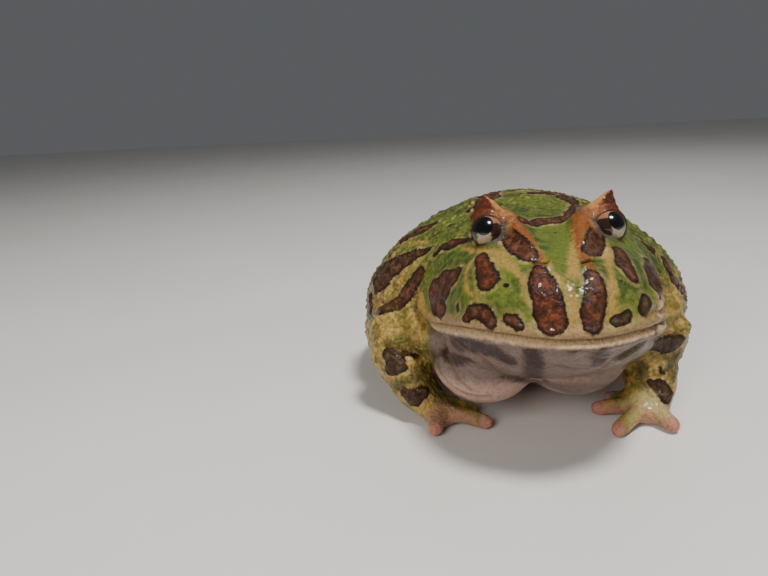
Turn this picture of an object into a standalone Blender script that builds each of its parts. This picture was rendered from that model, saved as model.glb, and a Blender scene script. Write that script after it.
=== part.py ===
# Argentine horned frog, life size, sitting up on its arms with the rear of the belly on the floor.
# The design is in millimetres and the meshes are in metres. The frog faces -Y, its left side is +X,
# and the floor is z = 0. It is modelled whole and then parted by thin cuts.
import math

import bmesh
import bpy
import numpy as np
from mathutils import Vector

MM = 0.001
GAP = 0.3

# Driving sizes of the body
SNOUT_Y = -55.5
LIP_FRONT_Z = 37.6

# Head
EYE_CENTRE = (14.9, -24.0, 55.3)
EYE_RADIUS = 4.4
EYE_LOOK = (0.38, -0.84, 0.38)
EYE_OPENING = 3.5
LID_THICKNESS = 0.75
EYE_WINDOW_SLOPE = (0.3, 0.6)
ORBIT_RADIUS = 5.35
ORBIT_SETBACK = 0.9
HORN_TIP = (15.9, -22.9, 64.4)
HORN_ROOT = (13.3, -20.8, 58.0)
HORN_WIDTH = 12.5
HORN_DEPTH = 8.0
HORN_LEAN = 0.32
NOSTRIL = (5.3, -41.6, 51.2)
NOSTRIL_SIZE = (1.0, 1.3, 1.5)
# Each lip: height over the mouth line, radius of its roll, how far its middle lies inside the face
UPPER_LIP = (1.3, 1.6, 0.7)
LOWER_LIP = (-1.6, 1.6, 1.2)

# Where the head ends on the trunk, and where the throat ends on the chest
NECK_LOW = (-3.0, 29.0)
NECK_HIGH = (-7.0, 75.0)
THROAT_LOW = (-37.5, 19.5)

# Meshing
BASE_VOXEL = 1.0
FINE_VOXEL = 0.7
SKIN_TRIANGLES = 5200
CUT_MARGIN = 0.6
CUT_VOXEL = 1.2
CUT_TRIANGLES = 300
FOOT_CUT_TRIANGLES = 700
HEAD_MARGIN = 1.8
CROWN = ((-25.0, -60.0, 47.0), (25.0, 10.0, 90.0))

# Colours from the living animal, linear RGB, with the roughness of wet skin
GREEN = (0.16, 0.27, 0.05)
OLIVE = (0.34, 0.30, 0.09)
BROWN = (0.13, 0.045, 0.02)
THROAT = (0.38, 0.33, 0.33)
PINK = (0.55, 0.33, 0.26)
ORANGE = (0.46, 0.16, 0.04)
BLACK = (0.006, 0.005, 0.005)
WET = 0.28

# Trunk sections: place, half width, height of the widest line, top, bottom, sideways shift
TRUNK = (
    (-39.0, 0.0, 26.0, 26.0, 26.0, -0.5),
    (-35.0, 18.0, 27.0, 40.0, 19.5, -0.5),
    (-28.0, 26.0, 27.0, 48.0, 16.0, 0.0),
    (-18.0, 35.6, 27.0, 54.5, 10.5, 0.6),
    (-8.0, 43.2, 26.5, 58.8, 5.0, 0.4),
    (4.0, 48.4, 25.5, 60.8, 0.3, -0.5),
    (14.0, 48.8, 24.5, 60.0, -0.7, -1.0),
    (26.0, 42.6, 23.5, 56.2, -0.7, -1.4),
    (37.0, 31.0, 21.0, 47.0, -0.7, -1.8),
    (47.0, 17.0, 17.0, 31.0, 1.5, -2.2),
    (52.0, 0.0, 13.0, 13.0, 13.0, -4.3),
)

# Head sections: place, half width at the lip, height of the lip, top, underside of the jaw
HEAD = (
    (-55.5, 0.0, 38.0, 38.0, 38.0),
    (-54.3, 6.6, 38.0, 43.6, 34.0),
    (-52.0, 13.2, 38.3, 47.2, 30.5),
    (-48.5, 18.2, 38.0, 49.8, 27.6),
    (-43.0, 22.4, 36.8, 52.0, 24.0),
    (-36.0, 25.8, 34.8, 54.0, 20.3),
    (-28.0, 28.4, 32.4, 55.4, 18.0),
    (-18.0, 32.0, 30.2, 57.6, 17.0),
    (-8.0, 35.2, 29.6, 58.6, 17.0),
    (2.0, 35.5, 30.5, 58.0, 18.0),
    (12.0, 28.0, 32.0, 52.0, 20.0),
    (18.0, 0.0, 34.0, 34.0, 34.0),
)

# How full the sections are: 2 is an ellipse, more is squarer
HEAD_FULLNESS = (2.3, 2.3)
TRUNK_FULLNESS = (1.75, 2.0)

# Fleshy lobes of the chest: centre and half sizes
CHEST_LOBES = (
    ((-15.5, -20.0, 20.5), (14.5, 16.0, 13.2)),
    ((8.5, -19.0, 20.8), (15.0, 16.0, 12.0)),
)

# Arm stations of each side, from the shoulder to the palm: x, y, z, half width, half height.
# The frog leans a little to its right, so its arms aren't mirror images.
UPPER_ARM = {
    "left": (
        (23.0, -9.0, 27.0, 9.0, 9.0),
        (30.0, -13.5, 28.0, 8.4, 8.4),
        (34.4, -14.5, 25.8, 7.8, 7.8),
        (34.4, -14.0, 20.2, 7.2, 7.3),
    ),
    "right": (
        (-26.0, -7.0, 26.0, 9.0, 9.0),
        (-34.0, -10.0, 26.2, 8.4, 8.4),
        (-39.5, -10.5, 23.8, 7.8, 7.8),
        (-41.0, -11.0, 19.0, 7.2, 7.2),
    ),
}
FORE_ARM = {
    "left": (
        (34.4, -14.0, 20.2, 7.2, 7.3),
        (32.2, -14.6, 14.0, 7.0, 7.0),
        (32.0, -17.0, 9.0, 7.0, 6.2),
        (31.0, -20.0, 5.2, 5.8, 4.6),
    ),
    "right": (
        (-41.0, -11.0, 19.0, 7.2, 7.2),
        (-37.6, -14.0, 13.4, 6.6, 6.8),
        (-34.2, -17.5, 8.6, 6.2, 5.8),
        (-30.6, -19.8, 5.2, 5.4, 4.5),
    ),
}
PALM = {
    "left": ((31.0, -20.0, 5.2, 5.8, 4.6), (29.6, -22.5, 3.2, 5.6, 3.2), (28.8, -25.0, 2.1, 4.8, 2.4)),
    "right": ((-30.6, -19.8, 5.2, 5.4, 4.5), (-28.4, -21.8, 3.2, 5.2, 3.2), (-26.8, -23.8, 2.1, 4.6, 2.4)),
}
# The tips of the fingers, outermost first; the two inner ones are drawn back under the chest
FINGER_TIPS = {
    "left": ((34.3, -32.4), (16.8, -33.2), (14.5, -19.2), (20.5, -12.0)),
    "right": ((-30.2, -31.6), (-13.2, -26.6), (-16.5, -17.5), (-22.0, -12.0)),
}
FINGER_ROOT_RADIUS = 2.7
FINGER_TIP_RADIUS = 2.25
THIGH = (
    (14.0, 39.5, 18.0, 10.0, 11.0),
    (29.0, 30.5, 19.0, 11.2, 12.0),
    (38.2, 21.5, 18.5, 10.0, 11.0),
    (42.6, 13.5, 16.0, 8.2, 8.6),
)
SHANK = (
    (42.6, 13.5, 16.0, 8.2, 8.6),
    (44.6, 22.0, 13.0, 6.6, 6.8),
    (42.4, 32.5, 11.0, 6.2, 6.4),
    (36.6, 42.5, 7.6, 4.8, 5.0),
)
FOOT = (
    (36.6, 42.5, 6.8, 4.6, 4.8),
    (36.4, 38.5, 3.8, 4.4, 3.7),
    (37.8, 31.0, 2.6, 4.2, 3.0),
    (40.5, 24.5, 2.0, 4.8, 2.4),
)
TOE_TIPS = ((31.8, 14.0), (34.4, 7.5), (39.4, 3.0), (44.6, 7.0), (47.4, 14.5))
TOE_RADIUS = 1.75
SPADE = ((32.2, 36.5, 1.8), (1.3, 3.0, 1.8))


def clear_scene():
    for old in list(bpy.data.objects):
        bpy.data.objects.remove(old, do_unlink=True)


# Smooth values through a few stations, without overshoot
def smooth_through(places, values, at):
    places = np.asarray(places, float)
    values = np.asarray(values, float)
    widths = np.diff(places)[:, None]
    slopes = np.diff(values, axis=0) / widths
    tangents = np.vstack([slopes[:1], slopes[:-1], slopes[-1:]])[: len(places)]
    before, after = slopes[:-1], slopes[1:]
    same_way = before * after > 0
    total = np.where(same_way, before + after, 1.0)
    tangents[1:-1] = np.where(same_way, 2 * before * after / total, 0.0)
    tangents[0], tangents[-1] = slopes[0], slopes[-1]
    at = np.clip(np.asarray(at, float), places[0], places[-1])
    cell = np.clip(np.searchsorted(places, at, side="right") - 1, 0, len(places) - 2)
    width = np.diff(places)[cell][:, None]
    t = ((at - places[cell])[:, None]) / width
    return (
        values[cell] * (1 + 2 * t) * (1 - t) ** 2
        + tangents[cell] * width * t * (1 - t) ** 2
        + values[cell + 1] * t * t * (3 - 2 * t)
        + tangents[cell + 1] * width * t * t * (t - 1)
    )


def new_object(name, mesh):
    made = bpy.data.objects.new(name, mesh)
    bpy.context.scene.collection.objects.link(made)
    return made


# A closed mesh from rings of points and a point at each end
def lofted(name, start, rings, end):
    body = bmesh.new()
    loops = [[body.verts.new(Vector(point) * MM) for point in ring] for ring in rings]
    first = body.verts.new(Vector(start) * MM)
    last = body.verts.new(Vector(end) * MM)
    count = len(loops[0])
    for near, far in zip(loops, loops[1:]):
        for i in range(count):
            j = (i + 1) % count
            body.faces.new((near[i], near[j], far[j], far[i]))
    for i in range(count):
        j = (i + 1) % count
        body.faces.new((first, loops[0][j], loops[0][i]))
        body.faces.new((last, loops[-1][i], loops[-1][j]))
    bmesh.ops.recalc_face_normals(body, faces=body.faces)
    mesh = bpy.data.meshes.new(name)
    body.to_mesh(mesh)
    body.free()
    return new_object(name, mesh)


# A body along Y whose sections are full ovals; stations hold y, half width, wide height, top, bottom, shift
def body_loft(name, stations, fullness, grow=0.0, rings=40, around=56):
    table = np.array([list(row) + [0.0] * (6 - len(row)) for row in stations])
    first_y, last_y = table[0, 0], table[-1, 0]
    angles = np.arccos(np.clip(1 - 2 * (table[:, 0] - first_y) / (last_y - first_y), -1, 1))
    first_y, last_y = first_y - grow, last_y + grow
    at = np.linspace(0, math.pi, rings + 2)
    values = smooth_through(angles, table[:, 1:], at)
    turn = np.linspace(0, 2 * math.pi, around, endpoint=False)
    full = np.where(np.sin(turn) > 0, *fullness)
    across = np.sign(np.cos(turn)) * np.abs(np.cos(turn)) ** (2 / full)
    along = np.sign(np.sin(turn)) * np.abs(np.sin(turn)) ** (2 / full)
    sections = []
    for angle, (width, wide_z, top, bottom, shift) in zip(at, values):
        y = first_y + (last_y - first_y) * (1 - math.cos(angle)) / 2
        height = np.where(along > 0, top - wide_z, wide_z - bottom)
        points = [shift + (width + grow) * across, np.full(around, y), wide_z + (height + grow) * along]
        sections.append(np.stack(points, axis=1))
    return lofted(name, sections[0].mean(axis=0), sections[1:-1], sections[-1].mean(axis=0))


# A limb: an oval tube through its stations with round ends
def limb_loft(name, stations, side=1, grow=0.0, steps=5, around=18):
    table = np.array(stations, float)
    table[:, 0] *= side
    knots = np.arange(len(table), dtype=float)
    at = np.linspace(0, len(table) - 1, steps * (len(table) - 1) + 1)
    values = smooth_through(knots, table, at)
    places = values[:, :3]
    sizes = values[:, 3:] + grow
    runs = np.gradient(places, axis=0)
    runs /= np.linalg.norm(runs, axis=1)[:, None]
    turn = np.linspace(0, 2 * math.pi, around, endpoint=False)
    rings = []

    def ring(place, run, width, height):
        sideways = np.cross(run, (0, 0, 1))
        if np.linalg.norm(sideways) < 0.2:
            sideways = np.array((0.0, 1.0, 0.0))
        sideways /= np.linalg.norm(sideways)
        upward = np.cross(sideways, run)
        return (
            place
            + width * np.cos(turn)[:, None] * sideways
            + height * np.sin(turn)[:, None] * upward
        )

    for lift in (75, 50, 25):
        back = math.sin(math.radians(lift)) * sizes[0].min()
        close = math.cos(math.radians(lift))
        rings.append(ring(places[0] - back * runs[0], runs[0], *(sizes[0] * close)))
    for place, run, size in zip(places, runs, sizes):
        rings.append(ring(place, run, *size))
    for lift in (25, 50, 75):
        ahead = math.sin(math.radians(lift)) * sizes[-1].min()
        close = math.cos(math.radians(lift))
        rings.append(ring(places[-1] + ahead * runs[-1], runs[-1], *(sizes[-1] * close)))
    start = places[0] - sizes[0].min() * runs[0]
    end = places[-1] + sizes[-1].min() * runs[-1]
    return lofted(name, start, rings, end)


def ball(name, centre, half_sizes, segments=24, rings=14):
    bpy.ops.mesh.primitive_uv_sphere_add(segments=segments, ring_count=rings, radius=1.0)
    made = bpy.context.active_object
    made.name = name
    for vertex in made.data.vertices:
        vertex.co = [(c + s * v) * MM for c, s, v in zip(centre, half_sizes, vertex.co)]
    return made


# A ring of flesh round an axis, such as an eyelid
def rim(name, centre, axis, radius, thickness, around=28, sides=10):
    body = bmesh.new()
    look = Vector(axis).normalized()
    side = look.cross(Vector((0, 0, 1))).normalized()
    up = side.cross(look)
    grid = []
    for i in range(around):
        turn = 2 * math.pi * i / around
        spoke = side * math.cos(turn) + up * math.sin(turn)
        middle = Vector(centre) + spoke * radius
        row = []
        for j in range(sides):
            roll = 2 * math.pi * j / sides
            offset = spoke * math.cos(roll) + look * math.sin(roll)
            row.append(body.verts.new((middle + offset * thickness) * MM))
        grid.append(row)
    for i in range(around):
        for j in range(sides):
            near, far = grid[i], grid[(i + 1) % around]
            k = (j + 1) % sides
            body.faces.new((near[j], near[k], far[k], far[j]))
    bmesh.ops.recalc_face_normals(body, faces=body.faces)
    mesh = bpy.data.meshes.new(name)
    body.to_mesh(mesh)
    body.free()
    return new_object(name, mesh)


# A slab between two outlines in the YZ plane, as wide as is asked for
def slab_region(name, outline, half_width=90.0):
    body = bmesh.new()
    left = [body.verts.new((half_width * MM, y * MM, z * MM)) for y, z in outline]
    right = [body.verts.new((-half_width * MM, y * MM, z * MM)) for y, z in outline]
    body.faces.new(left)
    body.faces.new(right[::-1])
    count = len(outline)
    for i in range(count):
        j = (i + 1) % count
        body.faces.new((left[j], left[i], right[i], right[j]))
    bmesh.ops.triangulate(body, faces=[f for f in body.faces if len(f.verts) > 4])
    bmesh.ops.recalc_face_normals(body, faces=body.faces)
    mesh = bpy.data.meshes.new(name)
    body.to_mesh(mesh)
    body.free()
    return as_guide(new_object(name, mesh))


# A box on one side of a plane, used to cut there
def half_space(name, point, facing, size=160.0):
    bpy.ops.mesh.primitive_cube_add(size=1.0)
    made = bpy.context.active_object
    made.name = name
    turn = Vector(facing).normalized().to_track_quat("Z", "Y")
    for vertex in made.data.vertices:
        local = Vector((vertex.co.x, vertex.co.y, vertex.co.z + 0.5)) * size
        vertex.co = (Vector(point) + turn @ local) * MM
    return as_guide(made)


def as_guide(thing):
    thing.hide_render = True
    thing.display_type = "WIRE"
    return thing


def select_only(thing):
    bpy.ops.object.select_all(action="DESELECT")
    thing.select_set(True)
    bpy.context.view_layer.objects.active = thing


def joined(name, things):
    select_only(things[0])
    for thing in things:
        thing.select_set(True)
    bpy.ops.object.join()
    made = bpy.context.active_object
    made.name = name
    return made


def apply_all(thing):
    select_only(thing)
    for modifier in list(thing.modifiers):
        bpy.ops.object.modifier_apply(modifier=modifier.name)
    return thing


def remeshed(thing, voxel, smoothing):
    remesh = thing.modifiers.new("fuse", "REMESH")
    remesh.mode = "VOXEL"
    remesh.voxel_size = voxel * MM
    remesh.use_smooth_shade = True
    smooth = thing.modifiers.new("soften", "SMOOTH")
    smooth.factor = 0.5
    smooth.iterations = smoothing
    return apply_all(thing)


def thinned(thing, triangles):
    thin = thing.modifiers.new("thin", "DECIMATE")
    thin.ratio = triangles / sum(len(face.vertices) - 2 for face in thing.data.polygons)
    return apply_all(thing)


# A copy whose faces all stand further out by the same distance
def grown_copy(thing, distance):
    made = copy_of(thing, thing.name + "_grown")
    body = bmesh.new()
    body.from_mesh(made.data)
    moves = []
    for vertex in body.verts:
        normal = vertex.normal
        lean = min(max(normal.dot(face.normal), 0.5) for face in vertex.link_faces)
        moves.append(normal * distance * MM / lean)
    for vertex, move in zip(body.verts, moves):
        vertex.co += move
    body.to_mesh(made.data)
    body.free()
    return made


def is_closed(mesh):
    body = bmesh.new()
    body.from_mesh(mesh)
    closed = len(body.faces) > 0 and all(len(edge.link_faces) == 2 for edge in body.edges)
    body.free()
    return closed


# The exact solver, and the manifold one only where the first leaves an open edge
def boolean(thing, cutter, operation):
    start = thing.data.copy()
    for solver in ("EXACT", "MANIFOLD"):
        thing.data = start.copy()
        cut = thing.modifiers.new("cut", "BOOLEAN")
        cut.operation = operation
        cut.solver = solver
        cut.object = cutter
        apply_all(thing)
        if is_closed(thing.data):
            break
    return thing


def copy_of(thing, name):
    made = thing.copy()
    made.data = thing.data.copy()
    made.name = name
    bpy.context.scene.collection.objects.link(made)
    return made


def remove(*things):
    for thing in things:
        bpy.data.objects.remove(thing, do_unlink=True)


# The closed surfaces of a mesh, as groups of vertices
def islands(body):
    seen = set()
    groups = []
    for vertex in body.verts:
        if vertex in seen:
            continue
        seen.add(vertex)
        group = [vertex]
        for member in group:
            for edge in member.link_edges:
                other = edge.other_vert(member)
                if other not in seen:
                    seen.add(other)
                    group.append(other)
        groups.append(group)
    return groups


# Keep one closed surface: the one that passes nearest to a point, or else the largest
def keep_one(thing, near=None):
    body = bmesh.new()
    body.from_mesh(thing.data)
    groups = islands(body)
    if near is None:
        kept = max(groups, key=len)
    else:
        point = Vector(near) * MM
        kept = min(groups, key=lambda group: min((vertex.co - point).length for vertex in group))
    for group in groups:
        if group is not kept:
            bmesh.ops.delete(body, geom=group, context="VERTS")
    bmesh.ops.triangulate(body, faces=body.faces)
    bmesh.ops.recalc_face_normals(body, faces=body.faces)
    body.to_mesh(thing.data)
    body.free()
    return thing


def material(name, colour, roughness=WET):
    made = bpy.data.materials.new(name)
    made.use_nodes = True
    shader = made.node_tree.nodes["Principled BSDF"]
    shader.inputs["Base Color"].default_value = (*colour, 1.0)
    shader.inputs["Roughness"].default_value = roughness
    shader.inputs["Metallic"].default_value = 0.0
    return made


def mirrored(place, side):
    return (place[0] * side, place[1], place[2])


# The line of the mouth, as heights along Y
def mouth_height(ys):
    table = np.array(HEAD)
    return smooth_through(table[:, 0], table[:, 2:3], ys)[:, 0]


def mouth_width(ys):
    table = np.array(HEAD)
    angles = np.arccos(np.clip(1 - 2 * (table[:, 0] - table[0, 0]) / (table[-1, 0] - table[0, 0]), -1, 1))
    at = np.arccos(np.clip(1 - 2 * (np.asarray(ys) - table[0, 0]) / (table[-1, 0] - table[0, 0]), -1, 1))
    return smooth_through(angles, table[:, 1:2], at)[:, 0]


def arm_pieces(label):
    return [limb_loft("upper_arm", UPPER_ARM[label]), limb_loft("fore_arm", FORE_ARM[label])]


def hand_pieces(label):
    pieces = [limb_loft("palm", PALM[label])]
    for tip_x, tip_y in FINGER_TIPS[label]:
        root = np.array(PALM[label][1][:3])
        tip = np.array((tip_x, tip_y, 1.7))
        reach = (tip - root) / np.linalg.norm(tip - root)
        end = tip - reach * FINGER_TIP_RADIUS
        middle = (root + end) / 2 + np.array((0, 0, 0.7))
        stations = (
            (*root, FINGER_ROOT_RADIUS, FINGER_ROOT_RADIUS),
            (*middle, FINGER_TIP_RADIUS, FINGER_TIP_RADIUS),
            (*end, FINGER_TIP_RADIUS + 0.1, FINGER_TIP_RADIUS),
        )
        pieces.append(limb_loft("finger", stations))
    return pieces


def leg_pieces(side):
    return [limb_loft("thigh", THIGH, side), limb_loft("shank", SHANK, side)]


def foot_pieces(side, grow=0.0):
    pieces = [limb_loft("tarsus", FOOT, side, grow)]
    pieces.append(ball("spade", mirrored(SPADE[0], side), [size + grow for size in SPADE[1]]))
    for tip_x, tip_y in TOE_TIPS:
        root = np.array(mirrored(FOOT[3][:3], side))
        tip = np.array((tip_x * side, tip_y, 1.5))
        reach = (tip - root) / np.linalg.norm(tip - root)
        end = tip - reach * TOE_RADIUS
        middle = (root + end) / 2 + np.array((0, 0, 0.5))
        stations = (
            (*root, TOE_RADIUS + 0.4, TOE_RADIUS + 0.2),
            (*middle, TOE_RADIUS, TOE_RADIUS),
            (*end, TOE_RADIUS, TOE_RADIUS),
        )
        pieces.append(limb_loft("toe", stations, grow=grow))
    return pieces


# Ridge of the brow from the snout past the eye's inner side to the horn
def brow_ridge(side):
    stations = [
        (5.0, -46.0, 46.6, 3.0, 2.4),
        (5.4, -40.0, 50.0, 3.4, 2.6),
        (5.8, -34.0, 52.2, 3.6, 3.0),
        (6.8, -28.5, 53.4, 3.8, 3.6),
        (8.8, -24.0, 55.0, 4.4, 4.2),
        (11.2, -19.5, 55.2, 5.4, 4.8),
        (11.6, -11.0, 52.2, 6.4, 4.6),
    ]
    return limb_loft("brow", stations, side, around=12)


# Rolls of flesh along the upper and lower lip
def lips():
    ys = np.concatenate([np.linspace(-9.0, -50.0, 10), [-53.0, -54.6, -55.3]])
    xs = mouth_width(ys)
    pieces = []
    for drop, size, inset in (UPPER_LIP, LOWER_LIP):
        right = [(-(x - inset), y + 0.4 * inset, z + drop) for x, y, z in zip(xs, ys, mouth_height(ys))]
        left = [(-x, y, z) for x, y, z in right[::-1]]
        path = right + [(0.0, SNOUT_Y + inset, LIP_FRONT_Z + drop)] + left
        stations = [(*place, size, size) for place in path]
        pieces.append(limb_loft("lip", stations, steps=3, around=10))
    return pieces


def whole_frog():
    pieces = [body_loft("trunk", TRUNK, TRUNK_FULLNESS), body_loft("head", HEAD, HEAD_FULLNESS)]
    pieces += [ball("lobe", centre, sizes) for centre, sizes in CHEST_LOBES]
    for side, label in ((1, "left"), (-1, "right")):
        pieces += arm_pieces(label) + hand_pieces(label)
        pieces += leg_pieces(side) + foot_pieces(side)
    flesh = remeshed(joined("flesh", pieces), BASE_VOXEL, 6)
    details = [flesh] + lips()
    for side in (1, -1):
        look = Vector(mirrored(EYE_LOOK, side)).normalized()
        centre = Vector(mirrored(EYE_CENTRE, side))
        details.append(brow_ridge(side))
        details.append(ball("orbit", centre - look * ORBIT_SETBACK, (ORBIT_RADIUS,) * 3))
        lid_radius = EYE_OPENING + LID_THICKNESS / 2
        lid_ahead = math.sqrt(EYE_RADIUS**2 - EYE_OPENING**2)
        details.append(rim("lid", centre + look * lid_ahead, look, lid_radius, LID_THICKNESS))
    fused = thinned(remeshed(joined("flesh", details), FINE_VOXEL, 3), SKIN_TRIANGLES)
    floor = half_space("floor", (0, 0, 0), (0, 0, 1))
    boolean(fused, floor, "INTERSECT")
    remove(floor)
    return fused


# A horn: a raised upper eyelid drawn out to a point
def horn_shape(name, side, grow=0.0):
    root = np.array(mirrored(HORN_ROOT, side))
    tip = np.array(mirrored(HORN_TIP, side))
    rings = []
    around = 14
    turn = np.linspace(0, 2 * math.pi, around, endpoint=False)
    for t in (0.0, 0.25, 0.5, 0.72, 0.88, 0.97):
        taper = (1 - t) ** 0.75
        centre = root + (tip - root) * t
        width = (HORN_WIDTH / 2) * taper + grow
        depth = (HORN_DEPTH / 2) * taper + grow
        ring = centre + np.stack(
            [width * np.cos(turn), depth * np.sin(turn), HORN_LEAN * width * side * np.cos(turn)], axis=1
        )
        rings.append(ring)
    reach = (tip - root) / np.linalg.norm(tip - root)
    return lofted(name, root - reach * (0.2 + grow), rings, tip + reach * grow)


def eye_ball(name, side, radius, segments=18, rings=12):
    return ball(name, mirrored(EYE_CENTRE, side), (radius,) * 3, segments, rings)


# Outlines of the cuts in the YZ plane: the mouth line and the ends of head and jaw
def mouth_path(offset):
    ys = np.concatenate([[-80.0], np.linspace(SNOUT_Y, NECK_LOW[0] + 1.0, 16)])
    return [(y, z + offset) for y, z in zip(ys, mouth_height(ys))]


def head_outline(grow):
    path = mouth_path(GAP / 2 - grow)
    return path + [
        (NECK_LOW[0] + 1.0 + grow, NECK_LOW[1] + 2.0),
        (NECK_HIGH[0] + grow, NECK_HIGH[1]),
        (-80.0, NECK_HIGH[1]),
    ]


def jaw_outline(grow):
    path = mouth_path(-GAP / 2 + grow)
    corner = (path[-1][0] + grow, path[-1][1] - 0.6 - grow)
    slope = (THROAT_LOW[1] - corner[1]) / (THROAT_LOW[0] - corner[0])
    front = (-80.0, corner[1] + slope * (-80.0 - corner[0]) - grow)
    return path + [corner, front]


# Head and jaw together, to clear their neighbours
def face_outline(grow):
    corner, front = jaw_outline(grow)[-2:]
    back = [(NECK_HIGH[0] + grow, NECK_HIGH[1]), (NECK_LOW[0] + 1.0 + grow, NECK_LOW[1] + 2.0)]
    return [(-80.0, NECK_HIGH[1])] + back + [corner, front]


# The head's own region: its loft grown a little, with the crown that holds the eyes and horns
def head_region(name, outline, grow, with_crown):
    region = body_loft(name, HEAD, HEAD_FULLNESS, HEAD_MARGIN + grow, rings=24, around=32)
    if with_crown:
        (low_x, low_y, low_z), (high_x, high_y, high_z) = CROWN
        bpy.ops.mesh.primitive_cube_add(size=1.0)
        crown = bpy.context.active_object
        for vertex in crown.data.vertices:
            x = (high_x + grow) * (1 if vertex.co.x > 0 else -1)
            y = high_y if vertex.co.y > 0 else low_y
            z = high_z if vertex.co.z > 0 else low_z - grow
            vertex.co = (x * MM, y * MM, z * MM)
        boolean(region, crown, "UNION")
        remove(crown)
    slab = slab_region("slab", outline)
    boolean(region, slab, "INTERSECT")
    remove(slab)
    return as_guide(region)


def mirrored_row(row, side):
    return (row[0] * side, *row[1:])


def build_cutters():
    cutters = {}
    cutters["head"] = head_region("head_cut", head_outline(0.0), 0.0, True)
    cutters["jaw"] = head_region("jaw_cut", jaw_outline(0.0), 0.0, False)
    cutters["face_gap"] = head_region("face_cut", face_outline(GAP), GAP, True)
    for label, side in (("left", 1), ("right", -1)):
        tubes = {
            "upper_arm": UPPER_ARM[label],
            "forearm": FORE_ARM[label],
            "thigh": [mirrored_row(row, side) for row in THIGH],
            "shank": [mirrored_row(row, side) for row in SHANK],
        }
        for limb, stations in tubes.items():
            tube = remeshed(limb_loft("tube", stations, grow=CUT_MARGIN), CUT_VOXEL, 2)
            thinned(tube, CUT_TRIANGLES)
            cutters[f"{limb}_{label}"] = as_guide(tube)
            cutters[f"{limb}_{label}_gap"] = as_guide(grown_copy(tube, GAP))
        foot = remeshed(joined("foot", foot_pieces(side, CUT_MARGIN)), CUT_VOXEL, 1)
        thinned(foot, FOOT_CUT_TRIANGLES)
        cutters[f"foot_{label}"] = as_guide(foot)
        cutters[f"foot_{label}_gap"] = as_guide(grown_copy(foot, GAP))
        joints = {
            "elbow": (UPPER_ARM[label][3], (0.25 * side, -0.1, -1.0)),
            "wrist": (PALM[label][0], (-0.35 * side, -0.45, -0.8)),
        }
        for joint, (station, run) in joints.items():
            run = np.array(run) / np.linalg.norm(run)
            place = np.array(station[:3])
            cutters[f"past_{joint}_{label}"] = half_space("past", place + run * GAP / 2, run)
            cutters[f"before_{joint}_{label}"] = half_space("before", place - run * GAP / 2, -run)
    return cutters


# What each node keeps of the whole, as cuts in their order, and a point that it passes through
def node_cuts():
    cuts = {
        "head": ((("head", "INTERSECT"),), None),
        "lower_jaw": ((("jaw", "INTERSECT"),), None),
    }
    limb_gaps = []
    face_away = (("face_gap", "DIFFERENCE"),)
    for label, side in (("left", 1), ("right", -1)):
        arm, fore = f"upper_arm_{label}", f"forearm_{label}"
        thigh, shank = f"thigh_{label}", f"shank_{label}"
        above, below = (f"before_elbow_{label}", "INTERSECT"), (f"past_elbow_{label}", "INTERSECT")
        cuts[arm] = (((arm, "INTERSECT"), above) + face_away, None)
        cuts[fore] = (
            ((fore, "INTERSECT"), below, (f"before_wrist_{label}", "INTERSECT")) + face_away,
            None,
        )
        tip = (*FINGER_TIPS[label][0], 1.0)
        cuts[f"hand_{label}"] = (((f"past_wrist_{label}", "INTERSECT"),), tip)
        cuts[thigh] = (((thigh, "INTERSECT"),), None)
        thigh_away = (thigh + "_gap", "DIFFERENCE")
        cuts[shank] = (((shank, "INTERSECT"), thigh_away), None)
        shank_away = (f"{shank}_gap", "DIFFERENCE")
        foot = f"foot_{label}"
        cuts[foot] = (((foot, "INTERSECT"), shank_away, thigh_away), None)
        limb_gaps += [arm, fore, thigh, shank, foot]
    away = tuple((name + "_gap", "DIFFERENCE") for name in limb_gaps)
    cuts["torso"] = (face_away + away, None)
    return cuts


# A short cone that opens the lids in front of the eye
def eye_window(side):
    look = Vector(mirrored(EYE_LOOK, side)).normalized()
    near, far = EYE_OPENING - EYE_WINDOW_SLOPE[0], EYE_OPENING + EYE_WINDOW_SLOPE[1]
    bpy.ops.mesh.primitive_cone_add(vertices=24, radius1=near, radius2=far, depth=5.0)
    made = bpy.context.active_object
    turn = look.to_track_quat("Z", "Y")
    ahead = Vector(mirrored(EYE_CENTRE, side)) + look * (EYE_RADIUS + 1.0)
    for vertex in made.data.vertices:
        vertex.co = (ahead + turn @ vertex.co) * MM
    return made


# Sockets, nostrils and horn seats in the whole body
def carve_face(whole):
    for side in (1, -1):
        socket = eye_ball("socket", side, EYE_RADIUS + GAP)
        window = eye_window(side)
        nostril = ball("nostril", mirrored(NOSTRIL, side), NOSTRIL_SIZE, 12, 8)
        seat = horn_shape("seat", side, GAP)
        for cutter in (socket, window, nostril, seat):
            boolean(whole, cutter, "DIFFERENCE")
        remove(socket, window, nostril, seat)


def build_nodes():
    whole = whole_frog()
    carve_face(whole)
    cutters = build_cutters()
    nodes = {}
    for name, (cuts, near) in node_cuts().items():
        node = copy_of(whole, name)
        for cutter, operation in cuts:
            boolean(node, cutters[cutter], operation)
        nodes[name] = keep_one(node, near)
    remove(whole, *cutters.values())
    for label, side in (("left", 1), ("right", -1)):
        nodes[f"eye_{label}"] = eye_ball(f"eye_{label}", side, EYE_RADIUS)
        horn = horn_shape(f"horn_{label}", side)
        socket = eye_ball("socket", side, EYE_RADIUS + GAP)
        boolean(horn, socket, "DIFFERENCE")
        remove(socket)
        nodes[f"horn_{label}"] = keep_one(horn)
    return nodes


NODE_COLOURS = {
    "head": GREEN,
    "lower_jaw": THROAT,
    "torso": GREEN,
    "upper_arm": OLIVE,
    "forearm": OLIVE,
    "hand": PINK,
    "thigh": OLIVE,
    "shank": BROWN,
    "foot": PINK,
    "eye": BLACK,
    "horn": ORANGE,
}


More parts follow.
